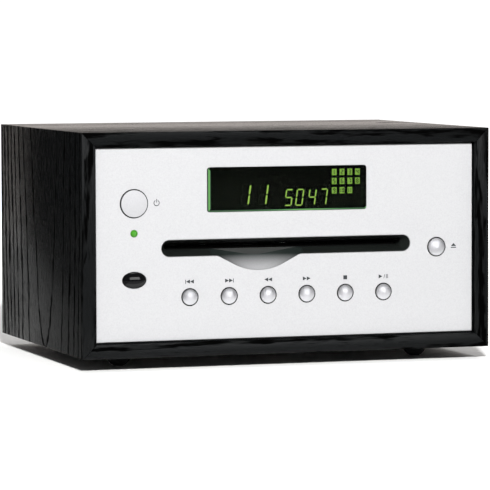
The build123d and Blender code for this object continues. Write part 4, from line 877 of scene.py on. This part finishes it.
# Repeated details, made with Geometry Nodes
def repeatedPiece(name, shape, sizes, material, body):
    # A grid of one small shape: rows along Row Step, columns along Column Step, from First. Lengths in mm.
    tree = bpy.data.node_groups.new(name, "GeometryNodeTree")
    sockets = {}
    for label, value in sizes.items():
        kind = "NodeSocketInt" if isinstance(value, int) else (
            "NodeSocketFloat" if isinstance(value, float) else "NodeSocketVector")
        sockets[label] = tree.interface.new_socket(name=label, in_out="INPUT", socket_type=kind).identifier
    tree.interface.new_socket(name="Geometry", in_out="OUTPUT", socket_type="NodeSocketGeometry")
    given = addNode(tree, "NodeGroupInput").outputs
    columns = addNode(tree, "GeometryNodeMeshLine", {"mode": "OFFSET"}, {
        "Count": given["Columns"], "Start Location": given["First"], "Offset": given["Column Step"]})
    rows = addNode(tree, "GeometryNodeMeshLine", {"mode": "OFFSET"}, {
        "Count": given["Rows"], "Offset": given["Row Step"]})
    row = addNode(tree, "GeometryNodeInstanceOnPoints", None, {
        "Points": rows.outputs[0], "Instance": shape(tree, given)})
    grid = addNode(tree, "GeometryNodeInstanceOnPoints", None, {
        "Points": columns.outputs[0], "Instance": row.outputs[0]})
    real = addNode(tree, "GeometryNodeRealizeInstances", None, {0: grid.outputs[0]})
    dressed = addNode(tree, "GeometryNodeSetMaterial", {"Material": material}, {"Geometry": real.outputs[0]})
    addNode(tree, "NodeGroupOutput", None, {"Geometry": dressed.outputs[0]})
    holder = bpy.data.objects.new(name + "_holder", bpy.data.meshes.new(name + "_holder"))
    scene.collection.objects.link(holder)
    modifier = holder.modifiers.new("repeat", "NODES")
    modifier.node_group = tree
    for label, value in sizes.items():
        if isinstance(value, (int, float)):
            modifier[sockets[label]] = value if isinstance(value, int) else value / 1000
        else:
            modifier[sockets[label]] = tuple(part / 1000 for part in value)
    mesh = bpy.data.meshes.new_from_object(holder.evaluated_get(bpy.context.evaluated_depsgraph_get()))
    bpy.data.objects.remove(holder)
    bm = bmesh.new()
    bm.from_mesh(mesh)
    bpy.data.meshes.remove(mesh)
    bmesh.ops.remove_doubles(bm, verts=bm.verts, dist=1e-7)
    bmesh.ops.recalc_face_normals(bm, faces=bm.faces)
    return finishPiece(name, bm, material, body)


def brick(tree, given):
    return addNode(tree, "GeometryNodeMeshCube", None, {"Size": given["Size"]}).outputs[0]


def rolledLip(tree, given):
    # A rounded slot outline with a half-round section: the pressed lip of a vent.
    outline = addNode(tree, "GeometryNodeCurvePrimitiveQuadrilateral", {"mode": "RECTANGLE"}, {
        "Width": given["Width"], "Height": given["Height"]})
    rounded = addNode(tree, "GeometryNodeFilletCurve", {"mode": "POLY", "Count": 6, "Limit Radius": True}, {
        "Curve": outline.outputs[0], "Radius": given["Corner"]})
    upright = addNode(tree, "GeometryNodeTransform", {"Rotation": (math.pi / 2, 0, 0)}, {
        "Geometry": rounded.outputs[0]})
    section = addNode(tree, "GeometryNodeCurvePrimitiveCircle", {"Resolution": 8}, {"Radius": given["Lip"]})
    return addNode(tree, "GeometryNodeCurveToMesh", None, {
        "Curve": upright.outputs[0], "Profile Curve": section.outputs[0]}).outputs[0]


def crossRecess(tree, given):
    # Two crossed bars: the driver recess of a screw head.
    flat = addNode(tree, "GeometryNodeMeshCube", None, {"Size": given["Size"]})
    turned = addNode(tree, "GeometryNodeTransform", {"Rotation": (0, math.pi / 2, 0)}, {"Geometry": flat.outputs[0]})
    joined = addNode(tree, "GeometryNodeJoinGeometry")
    tree.links.new(flat.outputs[0], joined.inputs[0])
    tree.links.new(turned.outputs[0], joined.inputs[0])
    return joined.outputs[0]


backLow, backHigh = (corner * 1000 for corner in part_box("rear_panel"))
vents = {"Columns": 2, "Rows": 6, "Column Step": (70.0, 0, 0), "Row Step": (0, 0, -4.0),
         "First": (-35.0, backHigh.y - 0.05, 93.9), "Width": 48.4, "Height": 2.2, "Corner": 1.08, "Lip": 0.22}
ventPaint = grainedMaterial("powderCoatedLip", {
    "colour": "#202123", "shade": "#18191a", "grain": 0.7, "roughness": (0.42, 0.55), "bump": 0.3})
repeatedPiece("vent_lips", rolledLip, vents, ventPaint, "cabinet")
# The recess of each cross-head screw, drawn as a dark cross of painted shade.
recessDark = grainedMaterial("screwRecess", {
    "colour": "#050505", "shade": "#0a0a0a", "grain": 0.4, "roughness": (0.5, 0.7), "bump": 0.2, "metallic": 0.5})
screwInset, screwBack = 4.8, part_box("cabinet_screws")[1].y * 1000  # from the rear panel's edges to a screw's middle
crosses = {"Columns": 2, "Rows": 2, "Column Step": (backHigh.x - backLow.x - 2 * screwInset, 0, 0),
           "Row Step": (0, 0, backHigh.z - backLow.z - 2 * screwInset),
           "First": (backLow.x + screwInset, screwBack - 0.25, backLow.z + screwInset), "Size": (2.6, 0.6, 0.6)}
repeatedPiece("screw_recesses", crossRecess, crosses, recessDark, "cabinet")
# Edges of the transformer's stacked sheets, standing a hair proud on its front and back.
coreLow, coreHigh = (corner * 1000 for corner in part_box("transformer_core"))
sheets = {"Columns": 17, "Rows": 1, "Column Step": ((coreHigh.x - coreLow.x - 0.8) / 16, 0, 0), "Row Step": (0, 0, 1.0),
          "First": (coreLow.x + 0.4, (coreLow.y + coreHigh.y) / 2, coreHigh.z - 0.2),
          "Size": (0.5, coreHigh.y - coreLow.y + 0.2, 0.5)}
repeatedPiece("core_sheet_edges", brick, sheets, made["laminatedSteel"], "cabinet")
# Solder-dipped pins of the control chip, in two rows on the main board.
boardLow, boardHigh = (corner * 1000 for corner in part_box("main_circuit_board"))
pins = {"Columns": 20, "Rows": 2, "Column Step": (1.27, 0, 0), "Row Step": (0, 9.0, 0),
        "First": (-30.0, 20.0, boardHigh.z + 0.12), "Size": (0.45, 1.6, 0.25)}
repeatedPiece("chip_pins", brick, pins, made["brightZinc"], "cabinet")

# Jack insulators
jacks = {
    "places": ((-20.0, "#b3171b", "red"), (-6.0, "#e4e2da", "white")),
    "z": 30.0,
    "bore": 1.75,
    "rim": 3.0,
    "proud": 0.15,         # past the metal, still inside the boards
    "deep": 0.3,
    "round": (0.25, 0.02),
    "around": 40,
}
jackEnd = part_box("phono_jacks")[1].y * 1000 + jacks["proud"]
for x, colour, label in jacks["places"]:
    # Moulded nylon insulator ring, coloured through, faintly glossy.
    nylon = grainedMaterial(label + "Nylon", {
        "colour": colour, "shade": colour, "grain": 1.0, "roughness": (0.35, 0.5), "bump": 0.08})
    bm = bmesh.new()
    bore, rim, root, shoulder = jacks["bore"], jacks["rim"], jackEnd - jacks["deep"], jackEnd - jacks["round"][1]
    turnedRing(bm, x, jacks["z"], ((bore, root), (bore, shoulder), (bore + jacks["round"][0], jackEnd),
                                   (rim - jacks["round"][0], jackEnd), (rim, shoulder), (rim, root)), jacks["around"])
    bmesh.ops.recalc_face_normals(bm, faces=bm.faces)
    finishPiece(label + "_jack_ring", bm, nylon, "cabinet")
print("details done")
